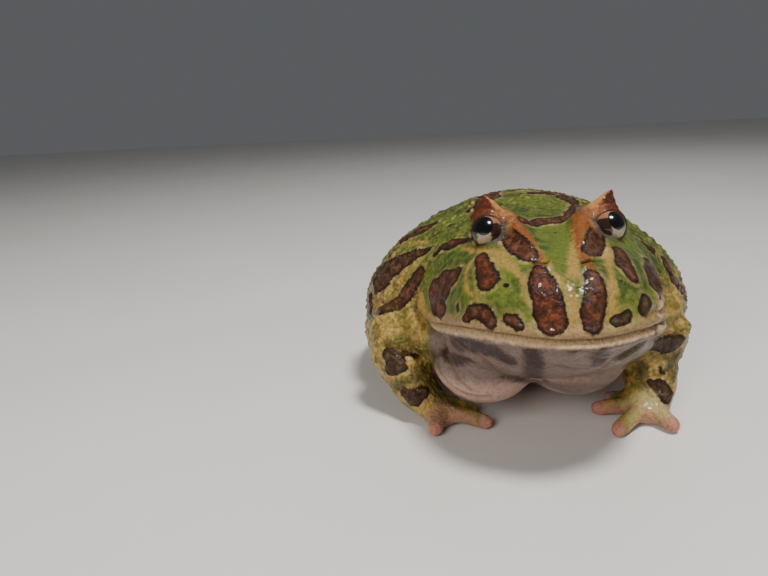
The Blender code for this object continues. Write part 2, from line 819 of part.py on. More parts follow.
def main():
    clear_scene()
    nodes = build_nodes()
    corners = np.array([vertex.co for node in nodes.values() for vertex in node.data.vertices])
    middle = (corners.min(axis=0) + corners.max(axis=0)) / 2
    for name, node in nodes.items():
        kind = name.replace("_left", "").replace("_right", "")
        node.data.materials.clear()
        node.data.materials.append(material(name + "_skin", NODE_COLOURS[kind]))
        node.location = (-middle[0], -middle[1], 0.0)
        node.data.shade_smooth()
        node.data.set_sharp_from_angle(angle=math.radians(40))


main()
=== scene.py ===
import math

import bpy
import numpy as np
from mathutils import Euler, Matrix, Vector
from mathutils import noise as lumps
from mathutils.bvhtree import BVHTree
from mathutils.kdtree import KDTree


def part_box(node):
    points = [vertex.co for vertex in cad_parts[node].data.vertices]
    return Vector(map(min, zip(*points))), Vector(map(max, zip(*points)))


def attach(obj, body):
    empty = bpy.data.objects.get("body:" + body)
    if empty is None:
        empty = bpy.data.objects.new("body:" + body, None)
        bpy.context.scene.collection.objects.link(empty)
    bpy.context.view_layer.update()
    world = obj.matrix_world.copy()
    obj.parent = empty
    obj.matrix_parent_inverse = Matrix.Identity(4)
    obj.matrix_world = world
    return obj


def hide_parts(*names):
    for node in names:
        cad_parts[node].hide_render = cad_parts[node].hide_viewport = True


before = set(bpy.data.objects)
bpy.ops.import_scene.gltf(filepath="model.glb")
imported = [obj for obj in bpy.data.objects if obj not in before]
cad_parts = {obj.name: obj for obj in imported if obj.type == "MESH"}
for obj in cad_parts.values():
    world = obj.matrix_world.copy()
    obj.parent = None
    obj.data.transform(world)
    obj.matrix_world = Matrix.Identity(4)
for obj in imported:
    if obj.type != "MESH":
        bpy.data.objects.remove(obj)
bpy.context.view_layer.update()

mm = 0.001
farOff = 40.0

# The frog's own measures are in millimetres: it faces -Y, its left side is +X and the floor is z = 0.
# A pixel is a place in the photo's 768 x 576 frame.
eyeSizes = {
    "centre": (14.9, -24.0, 55.3),
    "radius": 4.4,
    "opening": (0.38, -0.84, 0.38),
    "openingAngle": 63.0,
    "upperLid": 14.0,
    "outerLid": 14.0,
    "innerCorner": 18.0,
    "pupilWay": (0.31, -0.765, 0.565),
    "pupilAngle": 29.5,
    "pupilTall": 1.16,
    "lidThickness": 0.55,
    "socketRadius": 4.0,
    "seat": ((12.6, -20.0, 57.0), (6.6, 4.2, 2.6)),
    "corneaHeight": 0.22,
    "corneaAngle": 34.0,
    "innerLidWay": (-0.8, -0.2, -0.55),
}
eyeLow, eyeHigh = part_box("eye_left")
frogOrigin = np.array((eyeLow + eyeHigh) / 2) - np.array(eyeSizes["centre"]) * mm


def place(point):
    return Vector(np.array(point) * mm + frogOrigin)


sides = (("left", 1), ("right", -1))


def mirrored(point, side):
    return np.array((point[0] * side, *point[1:]))


def eyeCentre(side):
    return mirrored(eyeSizes["centre"], side)


# The same chains on the left and, turned over, on the right
def onBothSides(chains):
    both = {}
    for label, side in sides:
        both.update({label + name: [mirrored(row, side) for row in rows] for name, rows in chains.items()})
    return both


def selectOnly(*things):
    bpy.ops.object.select_all(action="DESELECT")
    for thing in things:
        thing.select_set(True)
    bpy.context.view_layer.objects.active = things[0]


def added(name, data):
    made = bpy.data.objects.new(name, data)
    bpy.context.scene.collection.objects.link(made)
    return made


def setMode(mode):
    bpy.ops.object.mode_set(mode=mode)


def joined(things, name):
    selectOnly(*things)
    bpy.ops.object.join()
    made = bpy.context.active_object
    made.name = name
    return made


def modified(thing, kind, **settings):
    selectOnly(thing)
    step = thing.modifiers.new(kind.lower(), kind)
    for key, value in settings.items():
        setattr(step, key, value)
    bpy.ops.object.modifier_apply(modifier=step.name)
    return thing


def ball(name, centre, sizes, segments=48, rings=32):
    bpy.ops.object.select_all(action="DESELECT")
    bpy.ops.mesh.primitive_uv_sphere_add(segments=segments, ring_count=rings)
    made = bpy.context.active_object
    made.name = name
    for vertex in made.data.vertices:
        vertex.co = place([c + s * v for c, s, v in zip(centre, sizes, vertex.co)])
    return made


def vertexValues(thing, name):
    values = np.zeros(len(thing.data.vertices) * 3, np.float32)
    thing.data.vertices.foreach_get(name, values)
    return values.reshape(-1, 3).astype(float)


def pointsOf(thing):
    return (vertexValues(thing, "co") - frogOrigin) / mm


def movePoints(thing, points):
    values = (points * mm + frogOrigin).astype(np.float32)
    thing.data.vertices.foreach_set("co", values.ravel())
    thing.data.update()


# Moved along the normals, but no lower than the floor
def pushSkin(skin, points, push):
    points = points + vertexValues(skin, "normal") * push[:, None]
    points[:, 2] = np.maximum(points[:, 2], 0)
    movePoints(skin, points)


def searchTree(points):
    tree = KDTree(len(points))
    for index, point in enumerate(points):
        tree.insert(point, index)
    tree.balance()
    return tree


# A finished piece with its material, in place of the nodes that it dresses
def dress(thing, material, slot, *nodes):
    thing.data.shade_smooth()
    thing.data.materials.append(material)
    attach(thing, "root")
    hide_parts(*nodes)


def writeField(thing, name, values):
    field = thing.data.attributes.new(name, "FLOAT", "POINT")
    field.data.foreach_set("value", np.asarray(values, np.float32))


def lengthsOf(rows):
    return np.linalg.norm(rows, axis=1)


# Distance from points to a chain of balls that grow or shrink along the way, less their radius
def chainDistance(points, chain):
    best = np.full(len(points), np.inf)
    chain = np.asarray(chain, float)
    if len(chain) == 1:
        return lengthsOf(points - chain[0, :3]) - chain[0, 3]
    for start, end in zip(chain, chain[1:]):
        run = end[:3] - start[:3]
        along = np.clip((points - start[:3]) @ run / max(run @ run, 1e-9), 0, 1)
        nearest = start[:3] + along[:, None] * run
        radius = start[3] + along * (end[3] - start[3])
        best = np.minimum(best, lengthsOf(points - nearest) - radius)
    return best


# From 0 at low to 1 at high
def softStep(value, low, high):
    t = np.clip((value - low) / (high - low), 0, 1)
    return t * t * (3 - 2 * t)


# 1 in the middle of a ridge or groove, nearly 0 at twice its half width
def hump(gap, halfWidth):
    return np.exp(-((gap / halfWidth) ** 2))


# Camera at the photo's place, and the way from it through a pixel
camera = {
    "place": (-34.11, -174.69, 88.0),
    "turn": (72.8087, 2.8706, 2.112),
    "focalPixels": 600.0,
    "frame": (768, 576),
    "sensor": 36.0,
}


def makeCamera():
    lens = bpy.data.cameras.new("camera")
    lens.sensor_width = camera["sensor"]
    lens.lens = camera["focalPixels"] / camera["frame"][0] * camera["sensor"]
    lens.clip_start = 0.005
    made = added("camera", lens)
    made.location = place(camera["place"])
    made.rotation_euler = [math.radians(angle) for angle in camera["turn"]]
    bpy.context.scene.camera = made


def onSkin(tree, pixel):
    turn = Euler([math.radians(angle) for angle in camera["turn"]]).to_matrix()
    across = (pixel[0] - camera["frame"][0] / 2) / camera["focalPixels"]
    down = (pixel[1] - camera["frame"][1] / 2) / camera["focalPixels"]
    way = (turn @ Vector((across, -down, -1.0))).normalized()
    start = place(camera["place"])
    hit = tree.ray_cast(start, way)[0]
    if hit is None:
        reach = (place((0, 0, 30)) - start).dot(way)
        hit = tree.find_nearest(start + way * reach)[0]
    return (np.array(hit) - frogOrigin) / mm


def nearSkin(tree, point):
    return (np.array(tree.find_nearest(place(point))[0]) - frogOrigin) / mm


def treeOf(thing):
    return BVHTree.FromObject(thing, bpy.context.evaluated_depsgraph_get())


# Rows of pixel and radius as a chain on the skin, and bare pixels as a line on it
def chainOnSkin(tree, rows):
    return [(*onSkin(tree, row[:2]), row[2]) for row in rows]


def lineOnSkin(tree, pixels):
    return chainOnSkin(tree, [(*pixel, 0.0) for pixel in pixels])


# The line of the mouth: place along the body, half width, height
mouthLine = (
    (-55.5, 0.0, 38.0),
    (-54.3, 6.6, 38.0),
    (-52.0, 13.2, 38.3),
    (-48.5, 18.2, 38.0),
    (-43.0, 22.4, 36.8),
    (-36.0, 25.8, 34.8),
    (-28.0, 28.4, 32.4),
    (-21.0, 30.9, 30.6),
)
mouthCorners = {
    -1: ((421.5, 317), (416.5, 311.5), (414.5, 304)),
    1: ((656.5, 312.5), (659, 306), (659.5, 299)),
}
# Half widths, depth and heights in mm of the groove and of the lip on each side of it; hollow is the half
# width of the painted shade in the groove
mouthForm = {
    "groove": 0.6,
    "depth": 1.0,
    "lipPlace": 1.7,
    "lip": 0.9,
    "upperLip": 0.4,
    "lowerLip": 0.45,
    "hollow": 0.55,
}

# Nostrils as pixels of their slits, and the lump of flesh under each
nostrils = {
    -1: ((536.5, 262.4), (541, 263.6), (545.6, 263.2)),
    1: ((584.5, 263), (587.5, 261), (591, 260.2)),
}
nostrilForm = {"lumpBelow": 5.5, "slit": 0.55, "depth": 1.6, "lump": 1.1, "height": 0.9, "dark": 0.7}

skinSizes = {
    "closing": 0.25,
    "hornCore": 1.3,
    "voxel": 0.7,
    "smoothing": 6,
    "fineMouth": 1.7,
    "fineEye": 7.6,
    "fineNostril": 3.2,
    "blotchHeight": 0.28,
    "swellSize": 2.6,
    "swellHeight": 0.3,
    "seed": 7,
}


def thicken(thing, by):
    selectOnly(thing)
    setMode("EDIT")
    bpy.ops.mesh.select_all(action="SELECT")
    bpy.ops.mesh.remove_doubles(threshold=0.01 * mm)
    bpy.ops.transform.shrink_fatten(value=by * mm)
    setMode("OBJECT")


# The outside only, without the hollows that the cuts between the nodes leave within
def outerShell(skin):
    selectOnly(skin)
    setMode("EDIT")
    bpy.ops.mesh.select_all(action="SELECT")
    bpy.ops.mesh.separate(type="LOOSE")
    setMode("OBJECT")
    parts = sorted(bpy.context.selected_objects, key=lambda part: -len(part.data.vertices))
    for part in parts[1:]:
        bpy.data.objects.remove(part)
    parts[0].name = "skin"
    return parts[0]


# All nodes of flesh as one closed skin
def bareSkin():
    copies = []
    for name in sorted(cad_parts):
        if name.startswith("eye_"):
            continue
        made = added(name + "_flesh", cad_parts[name].data.copy())
        thicken(made, -skinSizes["hornCore"] if name.startswith("horn_") else skinSizes["closing"])
        copies.append(made)
    skin = joined(copies, "skin")
    skin.data.materials.clear()
    fillers = []
    for side in (1, -1):
        centre = eyeCentre(side)
        fillers.append(ball("filler", centre, (eyeSizes["socketRadius"],) * 3))
        fillers.append(ball("seat", mirrored(eyeSizes["seat"][0], side), eyeSizes["seat"][1]))
    skin = joined([skin] + fillers, "skin")
    modified(skin, "REMESH", mode="VOXEL", voxel_size=skinSizes["voxel"] * mm)
    skin = outerShell(skin)
    modified(skin, "SMOOTH", factor=0.5, iterations=skinSizes["smoothing"])
    return skin


# Finer faces round the eyes, along the mouth and at the nostrils
def refine(skin):
    tree = treeOf(skin)
    points = pointsOf(skin)
    close = mouthGap(tree, points)[0] < skinSizes["fineMouth"]
    for side in (1, -1):
        close |= lengthsOf(points - eyeCentre(side)) < skinSizes["fineEye"]
        close |= lengthsOf(points - onSkin(tree, nostrils[side][1])) < skinSizes["fineNostril"]
    selectOnly(skin)
    setMode("EDIT")
    bpy.ops.mesh.select_mode(type="VERT")
    bpy.ops.mesh.select_all(action="DESELECT")
    setMode("OBJECT")
    skin.data.vertices.foreach_set("select", close)
    setMode("EDIT")
    bpy.ops.mesh.select_mode(type="FACE")
    bpy.ops.mesh.subdivide(number_cuts=1, quadcorner="INNERVERT")
    bpy.ops.mesh.select_mode(type="VERT")
    bpy.ops.mesh.vertices_smooth(factor=0.5, repeat=2)
    setMode("OBJECT")


# The way that an eye or its opening looks, and up across it
def lookAndUp(way, side):
    look = mirrored(way, side)
    look /= np.linalg.norm(look)
    up = np.array((0, 0, 1.0)) - look * look[2]
    return look, up / np.linalg.norm(up)


# How far a direction is from the middle of the eye's opening, and where the opening ends on that side
def lidAngles(points, side):
    look, up = lookAndUp(eyeSizes["opening"], side)
    way = points - eyeCentre(side)
    reach = lengthsOf(way)
    way = way / np.maximum(reach, 1e-6)[:, None]
    out = np.cross(up, look) * side
    off = np.degrees(np.arccos(np.clip(way @ look, -1, 1)))
    wide = np.maximum(np.sin(np.radians(off)), 1e-3)
    raised = np.clip((way @ up) / wide, 0, 1) ** 2
    outward = np.clip((way @ out) / wide, -1, 1)
    edge = eyeSizes["openingAngle"] - eyeSizes["upperLid"] * raised
    edge = edge - np.where(outward > 0, eyeSizes["outerLid"], -eyeSizes["innerCorner"]) * outward**2
    return way, reach, off, edge


# Eyelids: the skin sinks under the eyeball inside the opening and stands round it as a thin rim
def shapeLids(skin):
    points = pointsOf(skin)
    for side in (1, -1):
        way, reach, off, edge = lidAngles(points, side)
        rim = eyeSizes["radius"] + eyeSizes["lidThickness"]
        sunk = eyeSizes["radius"] - 0.5
        wanted = sunk + (rim - sunk) * softStep(off, edge - 1, edge + 6)
        share = softStep(reach, 7.5, 6.2) * softStep(off, edge + 26, edge + 10)
        points = points + way * ((wanted - reach) * share)[:, None]
    movePoints(skin, points)


# Both sides of the mouth line as one path, from its right corner round the snout to its left corner
def mouthPath(tree):
    halves = []
    for side in (-1, 1):
        half = [nearSkin(tree, (width * side, y, z)) for y, width, z in mouthLine]
        half += [onSkin(tree, pixel) for pixel in mouthCorners[side]]
        halves.append(np.array(half))
    path = np.vstack([halves[0][::-1], halves[1][1:]])
    lengths = np.concatenate([[0], np.cumsum(lengthsOf(np.diff(path, axis=0)))])
    steps = np.linspace(0, lengths[-1], 160)
    even = np.stack([np.interp(steps, lengths, path[:, axis]) for axis in range(3)], axis=1)
    return np.array([nearSkin(tree, point) for point in even])


# Distance to the mouth line and height over its nearest point
def mouthGap(tree, points):
    path = mouthPath(tree)
    steps = searchTree(path)
    away = np.full(len(points), farOff)
    over = np.full(len(points), farOff)
    low, high = path.min(axis=0) - 8, path.max(axis=0) + 8
    for index in np.flatnonzero(np.all((points > low) & (points < high), axis=1)):
        nearest, _, _ = steps.find(points[index])
        away[index] = math.dist(points[index], nearest)
        over[index] = points[index][2] - nearest[2]
    return away, over


# Folds in pixels of the photo: half width and depth in mm, and the path
folds = {
    "underRightArm": (1, 1, ((384, 345), (396, 350), (408, 353), (421, 356), (434, 354), (445, 347))),
    "rightWrist": (0.8, 0.7, ((396, 388), (408, 390), (420, 387), (432, 380))),
    "rightNeck": (
        0.9, 1.3,
        ((443, 337), (427, 329), (417.5, 320), (412.5, 308), (415, 296), (419, 284), (422.5, 271)),
    ),
    "leftNeck": (0.9, 1.1, ((655, 334), (661, 322), (664, 308), (665, 297), (664, 284), (660, 272))),
    "throatLeft": (0.8, 0.7, ((570, 378), (592, 373), (613, 361), (634, 350), (645, 342))),
    "throatRight": (0.8, 0.7, ((477, 356), (490, 367), (504, 376), (530, 379), (545, 381))),
    "lobeRight": (0.8, 0.6, ((436, 366), (448, 384), (466, 395), (490, 397))),
    "underLeftArm": (1, 0.9, ((652, 341), (667, 338), (683, 331))),
    "leftWrist": (0.8, 0.7, ((642, 384), (654, 389), (668, 391))),
    "flankRight": (1.2, 0.5, ((377, 300), (390, 305), (404, 312))),
    "throatInnerLeft": (0.9, 0.4, ((583, 352), (600, 360), (618, 357), (638, 346))),
    "throatLowLeft": (0.8, 0.35, ((556, 366), (580, 370), (604, 366))),
    "throatInnerRight": (0.9, 0.45, ((450, 337), (464, 350), (484, 360), (502, 371))),
    "throatOuterRight": (0.8, 0.4, ((440, 344), (450, 360), (458, 378), (470, 390))),
    "leftJowlFold": (0.7, 0.5, ((660, 280), (662, 292), (656, 306), (648, 318))),
}
# Ridges in the same way, standing up instead
ridges = {
    "rightCanthus": (1.5, 0.9, ((500, 209), (512, 221), (523, 235), (531, 248))),
    "leftCanthus": (1.5, 0.9, ((597, 203), (585, 214), (580, 227), (581, 242))),
    "rightJowl": (1.2, 0.45, ((427, 276), (421, 291), (419.5, 305), (425, 316), (438, 321))),
    "leftJowl": (1.2, 0.45, ((655, 276), (659, 289), (659, 303), (654, 315))),
    "leftUnderEye": (1.5, 0.7, ((602, 249), (607, 249), (610, 255))),
    "rightLore": (1.2, 0.5, ((551, 262), (556, 275), (560, 292))),
}


# Mouth groove, lips, folds and nostrils pressed into the skin, and warts raised on it
def sculpt(skin):
    shapeLids(skin)
    tree = treeOf(skin)
    points = pointsOf(skin)
    away, over = mouthGap(tree, points)
    lips = softStep(away, 4.5, 3.0) * softStep(points[:, 1], -22, -30)
    push = -mouthForm["depth"] * hump(away, mouthForm["groove"])
    push += mouthForm["upperLip"] * hump(over - mouthForm["lipPlace"], mouthForm["lip"]) * lips
    push += mouthForm["lowerLip"] * hump(over + mouthForm["lipPlace"], mouthForm["lip"]) * lips
    # Where painted shade goes: in the mouth groove and, below, along each fold
    hollow = hump(away, mouthForm["hollow"])
    for width, depth, pixels in folds.values():
        gap = chainDistance(points, lineOnSkin(tree, pixels))
        push -= depth * hump(gap, width)
        hollow = np.maximum(hollow, 0.8 * hump(gap, 0.8 * width))
    for width, height, pixels in ridges.values():
        push += height * hump(chainDistance(points, lineOnSkin(tree, pixels)), width)
    marks = markChains(tree)
    raised = nearestChain(points, [marks[name] for name in blotches])
    push += skinSizes["blotchHeight"] * softStep(raised, 0.1, -1.0)
    slits = np.zeros(len(points))
    for slit in nostrils.values():
        gap = chainDistance(points, lineOnSkin(tree, slit))
        under = [(across, down + nostrilForm["lumpBelow"]) for across, down in slit]
        lump = chainDistance(points, lineOnSkin(tree, under))
        push -= nostrilForm["depth"] * hump(gap, nostrilForm["slit"])
        push += nostrilForm["height"] * hump(lump, nostrilForm["lump"]) * softStep(gap, 0.2, 0.9)
        # Where painted shade goes inside each nostril slit
        slits = np.maximum(slits, np.exp(-((gap / nostrilForm["dark"]) ** 4)))
    writeField(skin, "nostril", slits)
    swell = [lumps.noise(Vector(point / skinSizes["swellSize"])) for point in points]
    push += skinSizes["swellHeight"] * np.array(swell) * softStep(raised, 0.3, -0.8)
    pushSkin(skin, points, push)
    writeField(skin, "hollow", hollow)
    raiseWarts(skin)


# How rough the skin is at a place: smooth on the face and under the body, coarse on back, flanks and arms
def roughness(points):
    x, y, z = points.T
    face = softStep(y, -14, -22) * softStep(z, 24, 30)
    under = softStep(z, 17, 9) * softStep(np.abs(x), 26, 20)
    throat = softStep(z, 30, 26) * softStep(y, -16, -24) * softStep(np.abs(x), 31, 26)
    hand = softStep(z, 10, 4)
    return (1 - 0.8 * face) * (1 - under) * (1 - throat) * (1 - 0.6 * hand)


warts = {
    "count": 6000,
    "radius": (0.6, 1.35),
    "height": (0.16, 0.5),
    "flank": 1.5,
    "steepness": 1.6,
    "offFloor": 3.0,
    "offEye": 6.2,
}


# Pointed warts behind the right horn: pixel, radius and height in mm
tufts = (
    (469.5, 207, 0.7, 1.0),
    (472.5, 211, 0.7, 1.0),
    (473, 203.5, 0.8, 1.2),
    (477.5, 201, 0.8, 1.0),
    (489, 196, 0.7, 0.7),
    (494, 195, 0.6, 0.6),
)


# Every marking as a chain of places with radii on the skin
def markChains(tree):
    chains = {name: chainOnSkin(tree, rows) for name, rows in blotches.items()}
    for name, rows in hiddenBlotches.items():
        chains[name] = [(*nearSkin(tree, row[:3]), row[3]) for row in rows]
    return chains


def raiseOne(push, around, size, height):
    for _, other, gap in around:
        push[other] = max(push[other], height * math.exp(-((gap / size) ** 2) * warts["steepness"]))


def raiseWarts(skin):
    random = np.random.default_rng(skinSizes["seed"])
    points = pointsOf(skin)
    tree = searchTree(points)
    push = np.zeros(len(points))
    eyes = [eyeCentre(side) for side in (1, -1)]
    coarse = roughness(points)
    for index in random.integers(0, len(points), warts["count"]):
        centre = points[index]
        rough = float(coarse[index])
        size = random.uniform(*warts["radius"])
        flank = 1 + (warts["flank"] - 1) * float(softStep(abs(centre[0]) + 0.3 * centre[1], 26, 40))
        height = random.uniform(*warts["height"]) * rough * flank
        keep = random.random() < 0.25 + 0.75 * rough
        nearEye = min(np.linalg.norm(centre - eye) for eye in eyes) < warts["offEye"]
        if keep and not nearEye and centre[2] >= warts["offFloor"]:
            raiseOne(push, tree.find_range(centre, size * 1.6), size, height)
    shape = treeOf(skin)
    for *pixel, size, height in tufts:
        raiseOne(push, tree.find_range(onSkin(shape, pixel), size * 1.8), size, height)
    pushSkin(skin, points, push)
    writeField(skin, "wart", push)


# Markings: pixels of the photo on the side that it shows, each with a radius in mm
blotches = {
    "cheekBean": (
        (456, 272, 1.9), (452, 279, 2.8), (443, 280, 3.2), (445, 288, 3.4),
        (434, 290, 3.4), (435, 301, 3.4), (442, 311, 2.2),
    ),
    "underRightEye": ((480.5, 257, 1.9), (482, 262, 2.1), (484.5, 270, 2.5), (487.5, 280, 3)),
    "rightLore": ((504, 230, 1.7), (510, 238, 2.4), (519, 247, 2.8), (529, 255, 2.3)),
    "rightLipArch": ((467, 317, 1.7), (471, 312, 1.9), (479, 311, 1.9), (486, 315, 1.9), (490.5, 323, 1.6)),
    "rightLipSpot": ((507, 318.5, 1.3), (513.5, 320.5, 1.6), (519, 326, 1.2)),
    "rightLipDot": ((457, 305, 0.6), (457.5, 310, 0.6)),
    "snoutRight": ((539, 272, 2), (541, 281, 2.9), (546, 295, 3.3), (549, 309, 3.5), (552, 321, 3.4)),
    "snoutLeft": ((593, 275, 1.9), (596, 286, 2.4), (595.5, 301, 2.7), (593, 314, 2.8), (593, 324, 2.3)),
    "leftLore": ((601, 228, 1.6), (595, 239, 2.9), (592, 250, 2.5)),
    "leftCheek": ((619, 250, 1.9), (625, 264, 2.5), (633.5, 277, 1.6)),
    "leftSide": ((649, 263, 2.2), (653.5, 267, 2.6), (655, 276, 3.7), (658, 286, 3.2)),
    "leftLipRear": ((647, 301, 1.8), (645, 309, 1.8)),
    "leftLipFront": ((628, 315, 1.3), (625, 319, 1.5), (616, 322, 1.3)),
    "browBand": (
        (522, 219.5, 1.6), (539, 221, 2.1), (557, 220, 1.9),
        (569, 215, 1.8), (577, 206, 1.6), (572, 198, 1.2),
    ),
    "crownLeft": ((563, 197, 2), (571, 200, 2.4)),
    "crownLine": ((530, 193, 1), (541, 193, 1.2), (553, 194, 1.2)),
    "rightTemple": (
        (477, 237.5, 0.9), (462, 240.5, 1.1), (450, 243.5, 1.9),
        (442, 247, 1.2), (434.5, 255, 0.8),
    ),
    "flankUpper": ((436, 222.5, 0.9), (425, 228, 1.9), (413, 233.5, 2.3), (404, 239, 2.2)),
    "behindRightHorn": ((470, 210, 1.2), (477, 207, 1.4), (480, 200, 1.6)),
    "flankBand": (
        (430, 248.5, 0.9), (414, 255, 2.2), (399, 264.5, 3.6), (387, 268, 3.6),
        (379, 272, 3), (387, 275, 3.8), (379, 281, 3.9), (377, 288, 2.2),
    ),
    "flankLower": ((420, 271, 1.6), (412, 283, 2.4), (404, 297, 2.5), (392, 306, 2.5), (376, 315, 2.6)),
    "flankEdge": ((370.5, 296, 1.2), (371, 306, 1.5), (372, 316, 1.3)),
    "rightElbow": ((389, 355, 2.2), (396, 361, 2.9), (391, 369, 2.2), (402, 368, 1.6)),
    "rightArmpit": ((404, 353, 0.8), (416, 356, 0.9)),
    "rightWrist": ((405, 393, 1.7), (413, 399, 2.6), (423, 392, 2)),
    "leftElbow": ((655, 346, 2.2), (667, 345, 2.9), (679, 342, 2.2)),
    "leftForearm": ((660, 368, 0.6), (663, 374, 0.6)),
    "leftWrist": ((650, 383, 1.2), (661, 387, 2.2), (667, 396, 2.4)),
    "leftFlankTop": ((642, 242, 0.9), (653.5, 251, 1.3)),
    "leftFlankMid": ((665, 260, 1.6), (669, 268, 1.9)),
    "leftFlankLow": ((673, 278, 1.8), (681, 288, 2), (687, 297, 1.8)),
}
# Small dark dots on the green, as pixels, with a radius in mm
dots = (
    ((579, 288, 0.5), (620.5, 281, 0.45), (625, 283.5, 0.4), (506, 285.5, 0.6), (450, 225.5, 0.6))
    + ((453.5, 224.3, 0.6), (524, 210, 0.4), (555, 233, 0.35), (476, 206, 0.9), (492, 195, 0.9))
    + ((638, 226, 0.7), (632, 240, 0.5))
)
hiddenDots = {"count": 46, "radius": (0.3, 0.9), "above": 24, "behind": -6}

# The same kind of markings on what the photo doesn't show: places in mm, each with a radius
hiddenBlotches = {
    "backRight": ((-12, 2, 70, 2.4), (-13, 9, 70, 3.8), (-11, 17, 70, 3.4)),
    "backLeft": ((12, 4, 70, 2.2), (14, 12, 70, 3.8), (12, 19, 70, 2.8)),
    "rumpRight": ((-14, 27, 62, 3), (-11, 35, 56, 3.6), (-8, 41, 50, 2.4)),
    "rumpLeft": ((13, 29, 62, 3.4), (10, 37, 56, 3.2), (9, 43, 48, 2)),
    "backMiddle": ((-1, 22, 70, 1.6), (0, 28, 66, 2)),
    "ventLeft": ((5, 60, 26, 2.6), (12, 56, 22, 2.2)),
    "ventRight": ((-10, 58, 24, 2.8),),
    "shoulderLeft": ((30, -2, 60, 2.2), (34, 6, 56, 3.4), (34, 15, 54, 3)),
    "shoulderRight": ((-28, 14, 60, 2.6), (-31, 22, 56, 3.4), (-28, 30, 50, 2.4)),
    "flankLeftHigh": ((46, 2, 44, 2), (50, 12, 42, 3), (48, 22, 40, 2.6)),
    "flankLeftLow": ((54, -2, 32, 1.8), (56, 6, 28, 2.4), (56, 14, 24, 2.2)),
    "flankLeftRear": ((42, 32, 42, 2.4), (36, 40, 38, 2.8)),
    "flankRightRear": ((-50, 26, 44, 2.4), (-44, 36, 40, 3), (-36, 44, 34, 2.4)),
    "flankRightLow": ((-56, 8, 26, 2.2), (-56, 18, 22, 2)),
    "thighLeftB": ((50, 24, 24, 1.6), (42, 32, 30, 2.2), (34, 36, 32, 1.6)),
    "thighLeftC": ((36, 44, 24, 2), (28, 50, 22, 1.6)),
    "thighRightB": ((-50, 25, 24, 1.6), (-42, 33, 30, 2.2), (-34, 37, 32, 1.6)),
    "thighRightC": ((-36, 45, 24, 2), (-28, 50, 22, 1.6)),
}
sameBlotches = {
    "Thigh": ((54, 12, 22, 1.6), (48, 20, 30, 1.8), (40, 26, 34, 1.6)),
    "ShankTop": ((56, 20, 16, 1.4), (56, 20, 8, 1.6)),
    "ShankMiddle": ((54, 32, 14, 1.4), (54, 33, 6, 1.6)),
    "ShankEnd": ((46, 43, 12, 1.4), (42, 50, 6, 1.4)),
    "Foot": ((38, 30, 8, 1.6),),
}
hiddenBlotches.update(onBothSides(sameBlotches))
# Size and height in mm of the waves in the outlines of these
outlineWaves = ((5.5, 2), (2.2, 1))
# How red-brown the blotches are inside, from olive brown at 0 to rust at 1
rusty = {
    "snoutRight": 0.85,
    "snoutLeft": 0.5,
    "underRightEye": 0.75,
    "rightLore": 0.35,
    "leftLore": 0.45,
    "flankBand": 0.15,
    "flankEdge": 0.15,
    "leftSide": 0.12,
    "others": 0.28,
}
coldest = ("rightElbow", "rightArmpit", "rightWrist", "leftElbow", "leftForearm", "leftWrist")
coldest += ("leftLipRear", "leftLipFront")
rusty.update({name: 0.05 for name in coldest})

# Zones of colour, as chains of pixels with radii in mm
orangeZones = {
    "rightHorn": ((477, 210, 2.4), (505, 213, 2.4)),
    "rightRidge": ((505, 212, 2), (514, 220, 2.3), (523, 232, 1.9), (531, 246, 1.5), (537, 258, 1.7)),
    "leftHorn": ((612, 201, 2.8), (602, 206, 3.2), (588, 209, 3.2)),
    "leftRidge": ((588, 209, 3.4), (581, 220, 2.6), (579, 236, 1.2), (586, 258, 1.5)),
    "snoutRightTop": ((536, 259, 1), (541, 266, 1.2)),
    "snoutLeftTop": ((588, 264, 1), (592, 269, 0.9)),
}
strawZones = {
    "middleStripe": ((569, 287, 1), (572, 305, 1.4), (577, 325, 1.5), (577, 334, 1.4)),
    "rightStripe": ((524, 232, 0.9), (537, 252, 1), (552, 268, 1), (560, 285, 1)),
    "leftStripe": ((574, 228, 1.6), (573, 250, 1.5), (573, 275, 1.5)),
    "rightCheek": ((497, 259, 1.9), (511, 266, 1.3), (523, 278, 0.6), (525, 300, 0.4)),
    "rightCheekRear": ((470, 262, 0.6), (466, 275, 0.5), (467, 290, 0.5), (478, 299, 0.4)),
    "rightJowl": ((425, 268, 1.2), (421, 285, 1.3), (421, 303, 1.6), (426, 316, 1.6), (440, 322, 1.2)),
    "leftCheek": ((604, 249, 2), (608, 262, 0.8), (612, 285, 0.9), (611, 315, 1.4)),
    "leftJowl": ((652, 262, 0.6), (661, 280, 0.7), (660, 300, 1.2)),
    "underEyeRight": (
        (464, 248, 0.5), (473, 250.5, 0.8), (486, 251.5, 0.9),
        (497, 252, 1.2), (504, 256, 1.3),
    ),
    "flankTop": ((370, 262, 1.4), (384, 251, 1.2), (402, 246, 1), (424, 242, 0.8)),
    "flankMiddle": ((396, 289, 1.6), (408, 270, 1.2), (421, 259, 1)),
    "flankRear": ((370, 290, 2.4), (372, 305, 2.4), (384, 297, 1.8)),
    "leftFlank": ((676, 270, 1.2), (684, 282, 1.6), (690, 293, 1.6)),
    "foreheadLine": ((480, 190, 0.7), (520, 187, 0.8), (556, 188, 0.8), (585, 194, 0.8)),
}
greenZones = {
    "browTriangle": ((540, 226, 2.6), (560, 226, 2.6), (560, 240, 2.6), (558, 256, 2), (559, 270, 1.4)),
    "crown": ((515, 200, 3), (535, 204, 3.6), (552, 206, 3.4)),
}
